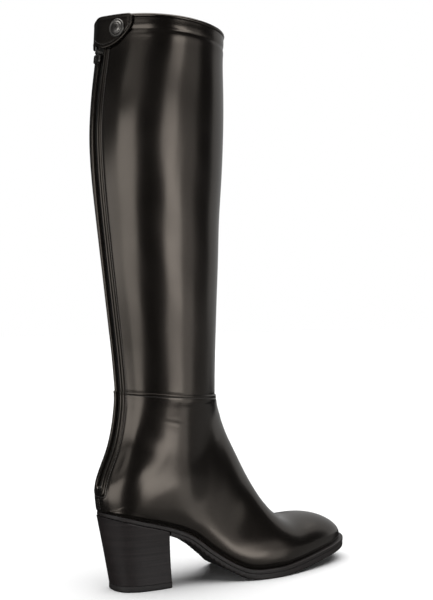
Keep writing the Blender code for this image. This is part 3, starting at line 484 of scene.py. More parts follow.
relief += np.where(under_zip, ridges(reach, CENTRE_SEAM), 0.0)


def drape(points):
    """Slow, shallow waves of the leather."""
    x, y, z = points[..., 0], points[..., 1], points[..., 2]
    wave = np.sin(0.041 * z + 0.065 * y + 0.8) * np.sin(0.052 * x - 0.024 * z + 0.4)
    return 0.14 * wave + 0.08 * np.sin(0.09 * z + 0.11 * x - 0.07 * y)


# Soft forms under the leather: centre, height, reach
BULGES = (
    ((25.0, -29.5, 88.0), 2.5, 20.0),
    ((27.0, -29.0, 108.0), 0.7, 16.0),
    ((-7.0, -25.5, 122.0), -1.2, 13.0),
    ((28.0, -28.0, 127.0), 1.8, 17.0),
    ((20.0, -28.0, 146.0), 1.0, 15.0),
    ((58.0, -31.0, 72.0), -2.3, 26.0),
    ((81.0, -34.0, 47.0), -1.8, 19.0),
    ((25.0, 29.0, 88.0), 2.5, 20.0),
    ((24.0, 28.0, 127.0), 1.4, 18.0),
)


def bulge_relief(points):
    total = sum(height * bell(np.linalg.norm(points - np.array(centre), axis=2), width)
                for centre, height, width in BULGES)
    return total * smooth_step(climb, 0.0, 9.0)


# Creases: points on the boot, depth, half width
CREASES = (
    (((4.0, -27.0, 140.0), (21.0, -28.9, 136.3), (40.0, -26.0, 132.0)), 0.17, 1.1),
    (((10.0, -28.0, 131.0), (20.0, -28.6, 127.5), (27.0, -28.4, 124.0)), 0.06, 1.6),
    (((112.0, -30.0, 45.0), (122.0, -18.0, 55.0), (126.0, -4.0, 57.0)), 0.12, 3.4),
    (((4.0, 27.0, 140.0), (21.0, 28.9, 136.3), (40.0, 26.0, 132.0)), 0.11, 1.4),
    (((36.0, 27.0, 127.0), (54.0, 24.0, 130.0), (68.0, 14.0, 133.0)), 0.12, 2.6),
)


def crease_relief(points):
    """Soft troughs, each with a low ridge on both sides, that fade out at their ends."""
    total = np.zeros(points.shape[:2])
    for line, depth, width in CREASES:
        line = np.array(line)
        pieces = len(line) - 1
        nearest = np.full(points.shape[:2], 1e9)
        place = np.zeros(points.shape[:2])
        for index in range(pieces):
            start, span = line[index], line[index + 1] - line[index]
            share = np.clip(((points - start) @ span) / (span @ span), 0.0, 1.0)
            distance = np.linalg.norm(points - start - share[..., None] * span, axis=2)
            closer = distance < nearest
            nearest[closer] = distance[closer]
            place[closer] = (index + share[closer]) / pieces
        fade = np.sin(np.pi * np.clip(place, 0.0, 1.0)) ** 0.7
        total += fade * depth * (0.45 * bell(nearest - 2.1 * width, width) - bell(nearest, width))
    return total


soft_forms = bulge_relief(base)
relief += crease_relief(base) + soft_forms
relief += drape(base) * smooth_step(np.minimum(reach, climb[-1][None, :]), 10.0, 26.0)

# The foot panel stands over the leg panel, with a thinned, rolled edge
EDGE_DROPS = (0.12, 0.42, 0.8, 1.15)
EDGE_ROUND = 0.42
EDGE_LEAN = 0.22
foot_rows = slice(0, seam_index + 1)
overlap = OVERLAP_STEP * np.minimum(rows / OVERLAP_FULL_ROW, 1.0)[:, None] * np.ones((1, columns))
feather_edge = smooth_step(np.where(on_leg[:, None], 9.0, reach), 0.0, 5.0)
foot_height = relief + overlap * feather_edge + ridges(above_seam, SEAM_EDGE)
foot_sheet = (base + normals * foot_height[:, :, None])[foot_rows]
foot_normals = normals[foot_rows]
seam_rise = unit(base[seam_index + 1] - base[seam_index])
edge_rows = []
for drop in EDGE_DROPS:
    lean = EDGE_LEAN * math.sin(min(drop / EDGE_ROUND, 1.0) * math.pi / 2)
    edge_rows.append(foot_sheet[-1] - foot_normals[-1] * drop + seam_rise * lean)
foot_full = np.concatenate((foot_sheet, np.array(edge_rows)))

# The leg panel starts under the foot panel
tuck_index = int(np.argmin(np.abs(above_seam[:, 0] + SEAM_TUCK)))
leg_height = relief - 0.45 * (1 - smooth_step(above_seam, -2.0, 0.5))
leg_height -= 0.10 * bell(above_seam - 0.6, 0.5)
leg_height += ridges(below_top - FACING_DROP, FACING)
leg_sheet = (base + normals * leg_height[:, :, None])[tuck_index:]
leg_normals = normals[tuck_index:]


# Materials

SHEEN_TINT = (1.0, 0.88, 0.76)
LAYER_STRETCH = (0.02, 0.02, 1.0)
LAYER_LIGHTER = 1.6


def put(tree, socket, value):
    """Link an output to a socket, or set the socket's value."""
    if isinstance(value, bpy.types.NodeSocket):
        tree.links.new(value, socket)
    else:
        socket.default_value = value


def add(tree, kind, values=None, **settings):
    """A shader node with its settings, and its inputs either linked or set."""
    made = tree.nodes.new(kind)
    for name, value in settings.items():
        setattr(made, name, value)
    for name, value in (values or {}).items():
        put(tree, made.inputs[name], value)
    return made


def new_material(name, colour, roughness, metallic=0.0):
    material = bpy.data.materials.new(name)
    material.use_nodes = True
    shader = material.node_tree.nodes["Principled BSDF"]
    shader.inputs["Base Color"].default_value = (*colour, 1.0)
    shader.inputs["Roughness"].default_value = roughness
    shader.inputs["Metallic"].default_value = metallic
    return material, material.node_tree, shader


def object_place(tree):
    return add(tree, "ShaderNodeTexCoord").outputs["Object"]


def noise(tree, place, scale, detail=2.0):
    return add(tree, "ShaderNodeTexNoise", {"Vector": place, "Scale": scale, "Detail": detail}).outputs[0]


def wave(tree, place, scale, direction, distortion=0.0):
    values = {"Vector": place, "Scale": scale, "Distortion": distortion}
    return add(tree, "ShaderNodeTexWave", values, bands_direction=direction).outputs["Fac"]


def math_node(tree, operation, *values):
    return add(tree, "ShaderNodeMath", dict(enumerate(values)), operation=operation).outputs[0]


def map_range(tree, value, from_low, from_high, to_low, to_high):
    made = add(tree, "ShaderNodeMapRange", {"Value": value, "From Min": from_low, "From Max": from_high,
                                            "To Min": to_low, "To Max": to_high})
    return made.outputs["Result"]


def mix_colour(tree, factor, first, second):
    values = {0: factor, 6: (*first, 1.0), 7: (*second, 1.0)}
    return add(tree, "ShaderNodeMix", values, data_type="RGBA").outputs[2]


def vary_colour(tree, shader, factor, first, second):
    tree.links.new(mix_colour(tree, factor, first, second), shader.inputs["Base Color"])


def vary_roughness(tree, shader, factor, low, high):
    tree.links.new(map_range(tree, factor, 0.3, 0.7, low, high), shader.inputs["Roughness"])


def bump(tree, shader, height, distance, strength):
    made = add(tree, "ShaderNodeBump", {"Height": height, "Distance": distance, "Strength": strength})
    tree.links.new(made.outputs["Normal"], shader.inputs["Normal"])


def surface_group():
    """A shared group: fine grain of a coated leather, and a slow change of tone."""
    group = bpy.data.node_groups.new("leather_grain", "ShaderNodeTree")
    for name in ("Grain", "Tone"):
        group.interface.new_socket(name=name, in_out="OUTPUT", socket_type="NodeSocketFloat")
    place = object_place(group)
    cells = add(group, "ShaderNodeTexVoronoi", {"Vector": place, "Scale": 950.0}, feature="SMOOTH_F1")
    grain = math_node(group, "MULTIPLY_ADD", cells.outputs["Distance"], 0.6, noise(group, place, 1500.0))
    add(group, "NodeGroupOutput", {"Grain": grain, "Tone": noise(group, place, 26.0, 3.0)})
    return group


GRAIN = surface_group()


def leather_material(name, colour, worn, rough_low, rough_high, grain_strength, coat):
    material, tree, shader = new_material(name, colour, 0.35)
    for socket, value in (("Coat Weight", coat), ("Coat Roughness", 0.16), ("Specular IOR Level", 0.95),
                          ("Specular Tint", (*SHEEN_TINT, 1.0))):
        shader.inputs[socket].default_value = value
    grain = add(tree, "ShaderNodeGroup", node_tree=GRAIN)
    vary_colour(tree, shader, grain.outputs["Tone"], colour, worn)
    vary_roughness(tree, shader, grain.outputs["Tone"], rough_low, rough_high)
    bump(tree, shader, grain.outputs["Grain"], 0.00008, grain_strength)
    return material


def thread_material():
    material, tree, shader = new_material("sewing_thread", (0.028, 0.025, 0.023), 0.5)
    bump(tree, shader, wave(tree, object_place(tree), 1500.0, "DIAGONAL", 1.5), 0.00006, 0.5)
    return material


def tape_material():
    material, tree, shader = new_material("woven_tape", (0.006, 0.006, 0.006), 0.75)
    place = object_place(tree)
    height = math_node(tree, "MULTIPLY", wave(tree, place, 900.0, "Z"), wave(tree, place, 900.0, "Y"))
    bump(tree, shader, height, 0.00012, 0.7)
    return material


def coil_material():
    material, tree, shader = new_material("coil_nylon", (0.007, 0.007, 0.007), 0.38)
    vary_roughness(tree, shader, noise(tree, object_place(tree), 800.0), 0.32, 0.5)
    return material


def metal_material(name, colour, dull):
    """Antique metal, darker and rougher in random patches."""
    material, tree, shader = new_material(name, colour, 0.32, 1.0)
    tarnish = noise(tree, object_place(tree), 420.0, 4.0)
    vary_colour(tree, shader, tarnish, colour, dull)
    vary_roughness(tree, shader, tarnish, 0.24, 0.42)
    bump(tree, shader, tarnish, 0.00005, 0.25)
    return material


def sole_material(name, colour, rough_low, rough_high, layer_scale, strength):
    """Trimmed and waxed sole leather or rubber, with faint layer lines."""
    material, tree, shader = new_material(name, colour, 0.5)
    place = object_place(tree)
    stretched = add(tree, "ShaderNodeMapping", {"Vector": place, "Scale": LAYER_STRETCH})
    lines = noise(tree, stretched.outputs["Vector"], layer_scale, 3.0)
    grain = noise(tree, place, 900.0)
    layers = map_range(tree, lines, 0.38, 0.62, 0.0, 1.0)
    vary_colour(tree, shader, layers, colour, [LAYER_LIGHTER * value for value in colour])
    vary_roughness(tree, shader, grain, rough_low, rough_high)
    bump(tree, shader, math_node(tree, "MULTIPLY_ADD", grain, 0.35, layers), 0.00018, strength)
    return material


leather = leather_material("boot_leather", (0.0016, 0.0013, 0.0012), (0.0026, 0.0021, 0.0019),
                           0.20, 0.26, 0.2, 0.06)
lining_leather = leather_material("lining_leather", (0.030, 0.024, 0.019), (0.045, 0.036, 0.028),
                                  0.6, 0.7, 0.4, 0.0)
insole_leather = leather_material("insole_leather", (0.055, 0.042, 0.032), (0.075, 0.058, 0.045),
                                  0.6, 0.75, 0.4, 0.0)
thread = thread_material()
tape_cloth = tape_material()
coil = coil_material()
antique = metal_material("antique_metal", (0.23, 0.22, 0.205), (0.11, 0.105, 0.10))
sole_edge_wax = sole_material("sole_edge", (0.0085, 0.0062, 0.0055), 0.45, 0.6, 900.0, 0.35)
heel_stack = sole_material("heel_stack", (0.0095, 0.0068, 0.0066), 0.40, 0.54, 560.0, 0.16)
rubber = sole_material("lift_rubber", (0.0095, 0.0075, 0.0072), 0.55, 0.7, 300.0, 0.2)


# Building of pieces

def grid_bmesh(points):
    """A grid of faces through an array of points, in millimetres."""
    count_rows, count_columns = points.shape[:2]
    bm = bmesh.new()
    bmesh.ops.create_grid(bm, x_segments=count_columns - 1, y_segments=count_rows - 1, size=1.0)
    for vert, spot in zip(bm.verts, points.reshape(-1, 3) * MM):
        vert.co = spot
    return bm


def weld(bm, caps=False):
    bmesh.ops.remove_doubles(bm, verts=bm.verts[:], dist=0.004 * MM)
    bmesh.ops.dissolve_degenerate(bm, edges=bm.edges[:], dist=0.002 * MM)
    if caps:
        bmesh.ops.holes_fill(bm, edges=[edge for edge in bm.edges if edge.is_boundary], sides=0)
    bmesh.ops.recalc_face_normals(bm, faces=bm.faces[:])


def solid(rings):
    """A solid through rings of points, closed at both ends."""
    bm = grid_bmesh(np.array(rings))
    weld(bm, caps=True)
    return bm


def into_scene(name, data):
    made = bpy.data.objects.new(name, data)
    bpy.context.scene.collection.objects.link(made)
    return made


def piece(name, bm, material, nodes=(), angle=50.0):
    """One object of the scene from a bmesh."""
    mesh = bpy.data.meshes.new(name)
    bm.to_mesh(mesh)
    bm.free()
    mesh.shade_smooth()
    mesh.set_sharp_from_angle(angle=math.radians(angle))
    mesh.materials.append(material)
    made = into_scene(name, mesh)
    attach(made, "boot")
    if nodes:
        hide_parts(*nodes)
    return made


def outwards(bm, normal_hint):
    """Turn an open sheet's faces to the side that normal_hint gives for a face in its middle."""
    bm.normal_update()
    bm.faces.ensure_lookup_table()
    face = bm.faces[len(bm.faces) // 2]
    if face.normal.dot(Vector(normal_hint(face.calc_center_median()))) < 0:
        bmesh.ops.reverse_faces(bm, faces=bm.faces[:])


def leather_panel(name, points, nodes):
    bm = grid_bmesh(points)
    outwards(bm, lambda spot: (spot.x - 0.02, spot.y, 0.02))
    bmesh.ops.remove_doubles(bm, verts=bm.verts[:], dist=0.002 * MM)
    piece(name, bm, leather, nodes, angle=70.0)


leather_panel("foot_leather", foot_full, ("upper",))
leather_panel("shaft_leather", leg_sheet, ("shaft",))

# The lining follows the leather's hollows, on a coarser grid
LINING_IN = 1.75
lining_rows = list(range(2, len(rows) - 1, 4)) + [len(rows) - 1]
lining_columns = list(range(0, columns, 3))
lining_depth = LINING_IN - np.minimum(soft_forms, 0.0)
lining_points = (base - normals * lining_depth[:, :, None])[np.ix_(lining_rows, lining_columns)]
lining_bm = grid_bmesh(lining_points)
outwards(lining_bm, lambda spot: (0.02 - spot.x, -spot.y, -0.02))
piece("lining", lining_bm, lining_leather, angle=70.0)

# Topline bead: a rounded roll along the last row of the grid, left open at the zip
BEAD_OUT = 1.65
BEAD_UP = 1.75
BEAD_IN = 0.95
BEAD_RISE = 1.55
BEAD_SIDES = 14
bead_columns = slice(FREE_COLUMNS, columns - FREE_COLUMNS)
bead_ups = unit(base[-1, bead_columns] - base[-2, bead_columns])
bead_outs = normals[-1, bead_columns]
bead_path = base[-1, bead_columns] - bead_outs * BEAD_IN + bead_ups * BEAD_RISE
bead_turns = np.linspace(0.0, 2 * math.pi, BEAD_SIDES + 1)
bead_rings = [[spot + BEAD_OUT * math.cos(turn) * out + BEAD_UP * math.sin(turn) * up for turn in bead_turns]
              for spot, out, up in zip(bead_path, bead_outs, bead_ups)]
piece("topline_roll", solid(bead_rings), leather, ("topline_bead",), angle=80.0)


# Sole, welt and heel

def sole_edge(row, side, out):
    """A point of the sole's outline: the feather edge moved outwards in plan."""
    step = 0.02
    first, last = max(row - step, 0.0), min(row + step, HEEL_BACK)

    def edge(at):
        return np.array((SEAT_X(at), SEAT_Y(at) + side * max(HALF(at), 0.0)))

    if row <= 0:
        normal = np.array((1.0, 0.0))
    elif row >= HEEL_BACK:
        normal = np.array((-1.0, 0.0))
    else:
        tangent = edge(last) - edge(first)
        normal = unit(np.array((tangent[1], -tangent[0])) * side)
    return edge(row) + normal * out


def sole_drop(x):
    """How much longer a sole layer measures straight down than square to itself."""
    step = 0.5
    slope = (FEATHER(x + step) - FEATHER(x - step)) / (2 * step)
    return math.sqrt(1 + slope * slope)


def sole_spot(row, side, out, depth):
    x, y = sole_edge(row, side, out)
    return x, y, feather_z(x, y) - depth * sole_drop(x)


def between(first, last, count):
    """Points that divide the line from first to last evenly, without its ends."""
    first, last = np.array(first), np.array(last)
    return [first + share * (last - first) for share in np.linspace(0.0, 1.0, count + 2)[1:-1]]


def sole_ring(row, profile, across):
    """One section of a sole layer: its outer side, inner side and both faces between."""
    outer = [sole_spot(row, OUTER, out, depth) for out, depth in profile]
    inner = [sole_spot(row, INNER, out, depth) for out, depth in profile[::-1]]
    whole = outer + between(outer[-1], inner[0], across) + inner + between(inner[-1], outer[0], across)
    return np.array(whole + whole[:1])


def rounded(out, top, low, inset, top_round, low_round):
    """A layer's side from its lower face to its upper one, as distances out and depths."""
    turns = np.linspace(0.0, math.pi / 2, 4)
    profile = [(out - inset, low)]
    for turn in turns:
        profile.append((out - low_round * (1 - math.sin(turn)), low - low_round * (1 - math.cos(turn))))
    for turn in turns:
        profile.append((out - top_round * (1 - math.cos(turn)), top + top_round * (1 - math.sin(turn))))
    profile.append((out - inset, top))
    return profile


SOLE_RUN = 230.0
SOLE_END_STEPS = (0.01, 0.03, 0.06, 0.1, 0.16, 0.24, 0.34)


def sole_rows(first_row, last_row, space):
    """Rows along the sole, closer together at its round ends."""
    shares = np.linspace(0.0, 1.0, int(SOLE_RUN / space))
    found = [first_row + (last_row - first_row) * share for share in shares]
    for step in SOLE_END_STEPS:
        found += [first_row + step, last_row - step]
    return sorted(set(found))


WELT_INSET = 4.5
WELT_ROUNDS = (0.6, 0.15)
OUTSOLE_INSET = 6.0
OUTSOLE_ROUNDS = (0.12, 1.2)
RAND_BACK = 0.8
RAND_ENDS_X = (8.0, 20.0)
welt_rings = []
for row in sole_rows(0.0, HEEL_BACK, 1.6):
    x = SEAT_X(row)
    out = WELT_OUT(x) - RAND_BACK * (1 - float(smooth_step(x, *RAND_ENDS_X)))
    profile = rounded(out, GAP, GAP + WELT_THICK, WELT_INSET, *WELT_ROUNDS)
    welt_rings.append(sole_ring(row, profile, 3))
piece("welt_edge", solid(welt_rings), sole_edge_wax, ("welt",), angle=60.0)

BREAST_X = 13.0
OUTSOLE_FROM_X = BREAST_X + 1.2
RIB_FIRST_X = 27.0
RIB_LAST_X = 84.0
RIB_PITCH = 4.4
RIB_DEPTH = 1.0
outsole_start = row_at(SEAT_X, OUTSOLE_FROM_X, HEEL_BACK, 0)


def rib_cut(x):
    """How far the waist's lower face is cut back between its ribs."""
    if not RIB_FIRST_X < x < RIB_LAST_X:
        return 0.0
    share = ((x - RIB_FIRST_X) / RIB_PITCH) % 1.0
    return RIB_DEPTH * max(0.0, 1 - abs(share - 0.25) / 0.25) ** 0.7


outsole_rings = []
for row in sole_rows(0.0, outsole_start, 0.7):
    x = SEAT_X(row)
    top = 2 * GAP + WELT_THICK
    low = top + SOLE_THICK(x) - rib_cut(x)
    profile = rounded(SOLE_OUT(x), top, low, OUTSOLE_INSET, *OUTSOLE_ROUNDS)
    outsole_rings.append(sole_ring(row, profile, 6))
piece("outsole_edge", solid(outsole_rings), sole_edge_wax, ("outsole",), angle=40.0)

BREAST_FOOT_X = 18.5
HEEL_FOOT_BACK_X = -25.5
HEEL_FOOT_HALF = 21.2
HEEL_SQUARE = 2.9
HEEL_SEAT_DEPTH = 3.8
HEEL_HOLLOW = 0.7
HEEL_CORNER = 0.8
HEEL_SIDE_POINTS = 48
HEEL_RINGS = 44
LIFT_THICK = 5.0
LIFT_ROUND = 1.4


def heel_top_outline():
    """The heel's outline under its seat, from the outer breast corner round the back to the inner one."""
    sides = {side: np.array([sole_edge(row, side, SOLE_OUT(SEAT_X(row)))
                             for row in np.linspace(HEEL_BACK, 10.0, 400)]) for side in (OUTER, INNER)}
    back = sides[OUTER][0, 0]
    outline = []
    for index in range(-HEEL_SIDE_POINTS, HEEL_SIDE_POINTS + 1):
        x = back + (abs(index) / HEEL_SIDE_POINTS) ** 2 * (BREAST_X - back)
        line = sides[OUTER if index < 0 else INNER]
        y = float(np.interp(x, line[:, 0], line[:, 1]))
        outline.append((x, y, feather_z(x, y) - HEEL_SEAT_DEPTH * sole_drop(x)))
    return outline


def heel_foot_outline(z, inset=0.0):
    """The heel's outline at the floor: straight breast, full round back."""
    length = BREAST_FOOT_X - HEEL_FOOT_BACK_X - 2 * inset
    outline = []
    for index in range(-HEEL_SIDE_POINTS, HEEL_SIDE_POINTS + 1):
        angle = index / HEEL_SIDE_POINTS * math.pi / 2
        back = max(math.cos(angle), 0.0) ** (2 / HEEL_SQUARE)
        across = math.copysign(abs(math.sin(angle)) ** (2 / HEEL_SQUARE), angle)
        outline.append((BREAST_FOOT_X - inset - length * back, (HEEL_FOOT_HALF - inset) * across, z))
    return outline


def closed(rings):
    return [list(ring) + [ring[0]] for ring in rings]


def heel_block(rings, corner):
    """A solid through outlines, with the corners at the breast rounded."""
    bm = solid(closed(rings))
    bm.normal_update()
    corners = []
    for edge in bm.edges:
        if len(edge.link_faces) == 2 and abs(edge.verts[0].co.z - edge.verts[1].co.z) > 0.0003:
            if edge.calc_face_angle(0.0) > math.radians(50):
                corners.append(edge)
    bmesh.ops.bevel(bm, geom=corners, offset=corner * MM, offset_type="OFFSET", affect="EDGES",
                    segments=3, profile=0.5, material=-1)
    bmesh.ops.recalc_face_normals(bm, faces=bm.faces[:])
    return bm


heel_top = np.array(heel_top_outline())
heel_foot = np.array(heel_foot_outline(LIFT_THICK + GAP))
heel_rings = []
for share in np.linspace(0.0, 1.0, HEEL_RINGS):
    ring = heel_top + share * (heel_foot - heel_top)
    ring[:, 1] *= 1 - HEEL_HOLLOW * math.sin(math.pi * share) / HEEL_FOOT_HALF
    heel_rings.append(ring)
piece("heel_stacked", heel_block(heel_rings, HEEL_CORNER), heel_stack, ("heel",), angle=45.0)

lift_rings = [heel_foot_outline(LIFT_THICK, 0.25), heel_foot_outline(LIFT_THICK - 0.25, 0.05)]
lift_rings += [heel_foot_outline(LIFT_ROUND + 1.2), heel_foot_outline(LIFT_ROUND)]
for turn in np.linspace(0.2, math.pi / 2, 6):
    inset = LIFT_ROUND * (1 - math.cos(turn))
    lift_rings.append(heel_foot_outline(LIFT_ROUND * (1 - math.sin(turn)), inset))
piece("lift_rubber", solid(closed(lift_rings)), rubber, ("top_lift",), angle=45.0)


# Zip

def around_back(row, distance):
    """A point of the leg at a signed distance from the centre back: outer side negative."""
    points, runs = section(row)[OUTER if distance < 0 else INNER]
    return points_at(abs(distance), runs, points)


def back_normal(row, distance):
    step = 0.05
    spread = 1.0
    high = min(row + step, TOP)
    up = around_back(high, distance) - around_back(high - 2 * step, distance)
    over = around_back(row, distance + spread) - around_back(row, distance - spread)
    return unit(np.cross(up, over))


def off_back(row, distance, out):
    return around_back(row, distance) + back_normal(row, distance) * out


TAPE_LOW_Z = 80.5
TAPE_TOP_Z = 461.0
TAPE_DEPTH = 2.6
TAPE_HALF = 9.0
TAPE_THICK = 0.7
TAPE_ROW_SPACE = 4.0
TAPE_COLUMNS = 15
tape_across = np.linspace(-TAPE_HALF, TAPE_HALF, TAPE_COLUMNS)
tape_points = []
for z in np.arange(TAPE_LOW_Z, TAPE_TOP_Z + 0.1, TAPE_ROW_SPACE):
    row = back_row(z)
    tape_points.append([off_back(row, across, -TAPE_DEPTH) for across in tape_across])
tape_bm = grid_bmesh(np.array(tape_points))
outwards(tape_bm, lambda spot: (-1.0, 0.0, 0.0))
tape = piece("zip_cloth", tape_bm, tape_cloth, ("zip_tape",), angle=80.0)
thick = tape.modifiers.new("thickness", "SOLIDIFY")
thick.thickness = TAPE_THICK * MM
thick.offset = -1.0


def blob_template(segments, rings):
    bm = bmesh.new()
    bmesh.ops.create_uvsphere(bm, u_segments=segments, v_segments=rings, radius=1.0)
    bm.verts.index_update()
    verts = np.array([vert.co[:] for vert in bm.verts])
    faces = [[vert.index for vert in face.verts] for face in bm.faces]
    bm.free()
    return verts, faces


BLOB = blob_template(8, 5)


def blobs(name, spots, material):
    """Many small rounded pieces in one mesh: centre, three half axes as vectors, in millimetres."""
    template, template_faces = BLOB
    verts, faces = [], []
    for index, (centre, a, b, c) in enumerate(spots):
        verts.append(template @ np.array((a, b, c)) + np.array(centre))
        offset = index * len(template)
        faces += [[offset + vert for vert in face] for face in template_faces]
    mesh = bpy.data.meshes.new(name)
    mesh.from_pydata((np.concatenate(verts) * MM).tolist(), [], faces)
    bm = bmesh.new()
    bm.from_mesh(mesh)
    bpy.data.meshes.remove(mesh)
    bmesh.ops.recalc_face_normals(bm, faces=bm.faces[:])
    piece(name, bm, material, angle=180.0)


# The coil's turns lean to and fro on both sides of the centre back, over a stop at the zip's foot
COIL_PITCH = 1.45
COIL_DEPTH = 1.75
COIL_TOP_Z = 458.0
COIL_OFFSET = 1.05
COIL_LEAN = 0.12
COIL_HALVES = (1.75, 0.42, 0.72)
STOP_DROP = 1.6
STOP_DEPTH = 0.7
STOP_HALVES = (2.7, 1.5, 1.3)
ACROSS = np.array((0.0, 1.0, 0.0))
coil_spots = []
for index, z in enumerate(np.arange(ZIP_FOOT_Z - 1.0, COIL_TOP_Z, COIL_PITCH / 2)):
    row = back_row(z)
    side = -1 if index % 2 else 1
    normal = back_normal(row, 0.0)
    up = np.cross(normal, ACROSS)
    up *= np.sign(up[2])
    centre = off_back(row, 0.0, -COIL_DEPTH) + ACROSS * side * COIL_OFFSET
    axes = (ACROSS + COIL_LEAN * side * up, up, normal)
    coil_spots.append((centre, *(half * axis for half, axis in zip(COIL_HALVES, axes))))
stop_row = back_row(ZIP_FOOT_Z - STOP_DROP)
stop_normal = back_normal(stop_row, 0.0)
stop_axes = (ACROSS, np.cross(stop_normal, ACROSS), stop_normal)
coil_spots.append((off_back(stop_row, 0.0, -STOP_DEPTH),
                   *(half * axis for half, axis in zip(STOP_HALVES, stop_axes))))
blobs("zip_coil", coil_spots, coil)


# Stitches

STITCH_PITCH = 2.3
STITCH_LENGTH = 1.55
STITCH_SIZE = (0.7, 0.3)
ZIP_STITCH_SIZE = (0.95, 0.45)
STITCH_RAISE = 0.25
STITCH_STEP = 0.4
CROSS_RISE = 0.4
CROSS_REACH = 8.6
SEAM_STITCH_FROM = 11.5


def spot_on(points, directions, row_index, column):
    """A place and direction on a leather grid at a fractional row and column."""
    i = min(max(int(math.floor(row_index)), 0), points.shape[0] - 2)
    j = min(max(int(math.floor(column)), 0), points.shape[1] - 2)
    u, v = row_index - i, column - j

    def blend(values):
        return ((1 - u) * (1 - v) * values[i, j] + u * (1 - v) * values[i + 1, j]
                + (1 - u) * v * values[i, j + 1] + u * v * values[i + 1, j + 1])

    return blend(points), blend(directions)


def stitch_row(path, directions, size=STITCH_SIZE):
    """Stitches at an even pitch along a path of points, of a width and height."""
    path = np.array(path)
    directions = np.array(directions)
    run = run_length(path)
    width, height = size
    found = []
    for at in np.arange(STITCH_PITCH / 2, run[-1], STITCH_PITCH):
        normal = unit(points_at(at, run, directions))
        along = points_at(at + STITCH_STEP, run, path) - points_at(at - STITCH_STEP, run, path)
        along = unit(along - normal * (along @ normal))
        centre = points_at(at, run, path) + normal * height * STITCH_RAISE
        half_width = np.cross(normal, along) * width / 2
        found.append((centre, along * STITCH_LENGTH / 2, half_width, normal * height))
    return found


def sew(grid, places, size=STITCH_SIZE):
    """Stitches on a leather grid, along places given as fractional rows and columns."""
    return stitch_row(*zip(*(spot_on(*grid, i, j) for i, j in places)), size)


def column_at(row_index, distance, side, grid_reach):
    """The fractional column of a grid row at a distance from the centre back."""
    if side == OUTER:
        return float(np.interp(distance, grid_reach[row_index, :SIDE_COLUMNS], np.arange(SIDE_COLUMNS)))
    values = grid_reach[row_index, SIDE_COLUMNS - 1:][::-1]
    return columns - 1 - float(np.interp(distance, values, np.arange(SIDE_COLUMNS)))


foot_grid = (foot_sheet, foot_normals)
leg_grid = (leg_sheet, leg_normals)
foot_reach = reach[foot_rows]
leg_reach = reach[tuck_index:]
cross_z = ZIP_FOOT_Z - STITCH_GROOVE + CROSS_RISE
cross_row = int(np.argmin(np.abs(np.where(on_leg, back_z, -1e9) - cross_z)))
heel_row = int(np.argmin(np.abs(rows - HEEL_BACK))) + 2
sewn = []
for side in (OUTER, INNER):
    sewn += sew(foot_grid, [(i, column_at(i, STITCH_GROOVE, side, foot_reach))
                            for i in range(cross_row, seam_index + 1)], ZIP_STITCH_SIZE)
    sewn += sew(leg_grid, [(i, column_at(i, STITCH_GROOVE, side, leg_reach))
                           for i in range(seam_index - tuck_index + 1, len(leg_sheet) - 1)], ZIP_STITCH_SIZE)
    sewn += sew(foot_grid, [(i, column_at(i, CENTRE_SEAM_ROW, side, foot_reach))
                            for i in range(heel_row, cross_row - 3)])
cross_reach = np.linspace(CROSS_REACH, 0.05, 20)
sewn += sew(foot_grid, [(cross_row, column_at(cross_row, at, OUTER, foot_reach)) for at in cross_reach]
            + [(cross_row, column_at(cross_row, at, INNER, foot_reach)) for at in cross_reach[::-1]])
seam_places = []
for j in range(FREE_COLUMNS, columns - FREE_COLUMNS):
    if reach[seam_index, j] > SEAM_STITCH_FROM:
        i = float(np.interp(-SEAM_STITCH_DROP, above_seam[foot_rows, j], np.arange(seam_index + 1)))
        seam_places.append((i, j))
sewn += sew(foot_grid, seam_places)


# Snap tab and cap
TAB_LOW_Z = 439.5
TAB_RISE = 3.0
TAB_FREE_END = -32.0
TAB_SEWN_END = 29.0
TAB_THICK = 2.0
TAB_CLEAR = 0.95
TAB_BRIDGE = 1.9
TAB_BRIDGE_REACH = 8.5
TAB_BRIDGE_LOW = 0.2
TAB_NOSE = 26.0
TAB_NOSE_Z = 462.0
TAB_NOSE_POWER = 1.8
TAB_CORNER = 3.0
TAB_SEWN_RISE = 6.0
TAB_SEWN_FROM = -7.0
TAB_SEWN_FULL = 10.0
TAB_STITCH_IN = 3.0
TAB_STITCH_ROOM = 6.2
TAB_GROOVE = 0.14
TAB_GROOVE_WIDTH = 0.45
TAB_RIM = 0.75
TAB_RIM_REACH = 0.9
TAB_SHARES = np.sin(np.linspace(0.0, math.pi / 2, 120))
TAB_ACROSS = np.sin(np.linspace(-math.pi / 2, math.pi / 2, 44))


def tab_outline(along):
    """The tab's reach and its lower and upper edge at a share of its length."""
    at = TAB_SEWN_END + (TAB_FREE_END - TAB_SEWN_END) * along
    into_nose = min(max((TAB_FREE_END + TAB_NOSE - at) / TAB_NOSE, 0.0), 1.0)
    into_corner = min(max((TAB_FREE_END + TAB_CORNER - at) / TAB_CORNER, 0.0), 1.0)
    fall = (1 - into_nose ** TAB_NOSE_POWER) ** (1 / TAB_NOSE_POWER)
    rise = math.sqrt(1 - into_corner ** 2)
    low = TAB_LOW_Z + TAB_SEWN_RISE * float(smooth_step(at, TAB_SEWN_FROM, TAB_SEWN_FULL))
    return (at, TAB_NOSE_Z - (TAB_NOSE_Z - low) * fall,
            TAB_NOSE_Z + (BACK_Z(TOP) + TAB_RISE - TAB_NOSE_Z) * rise)


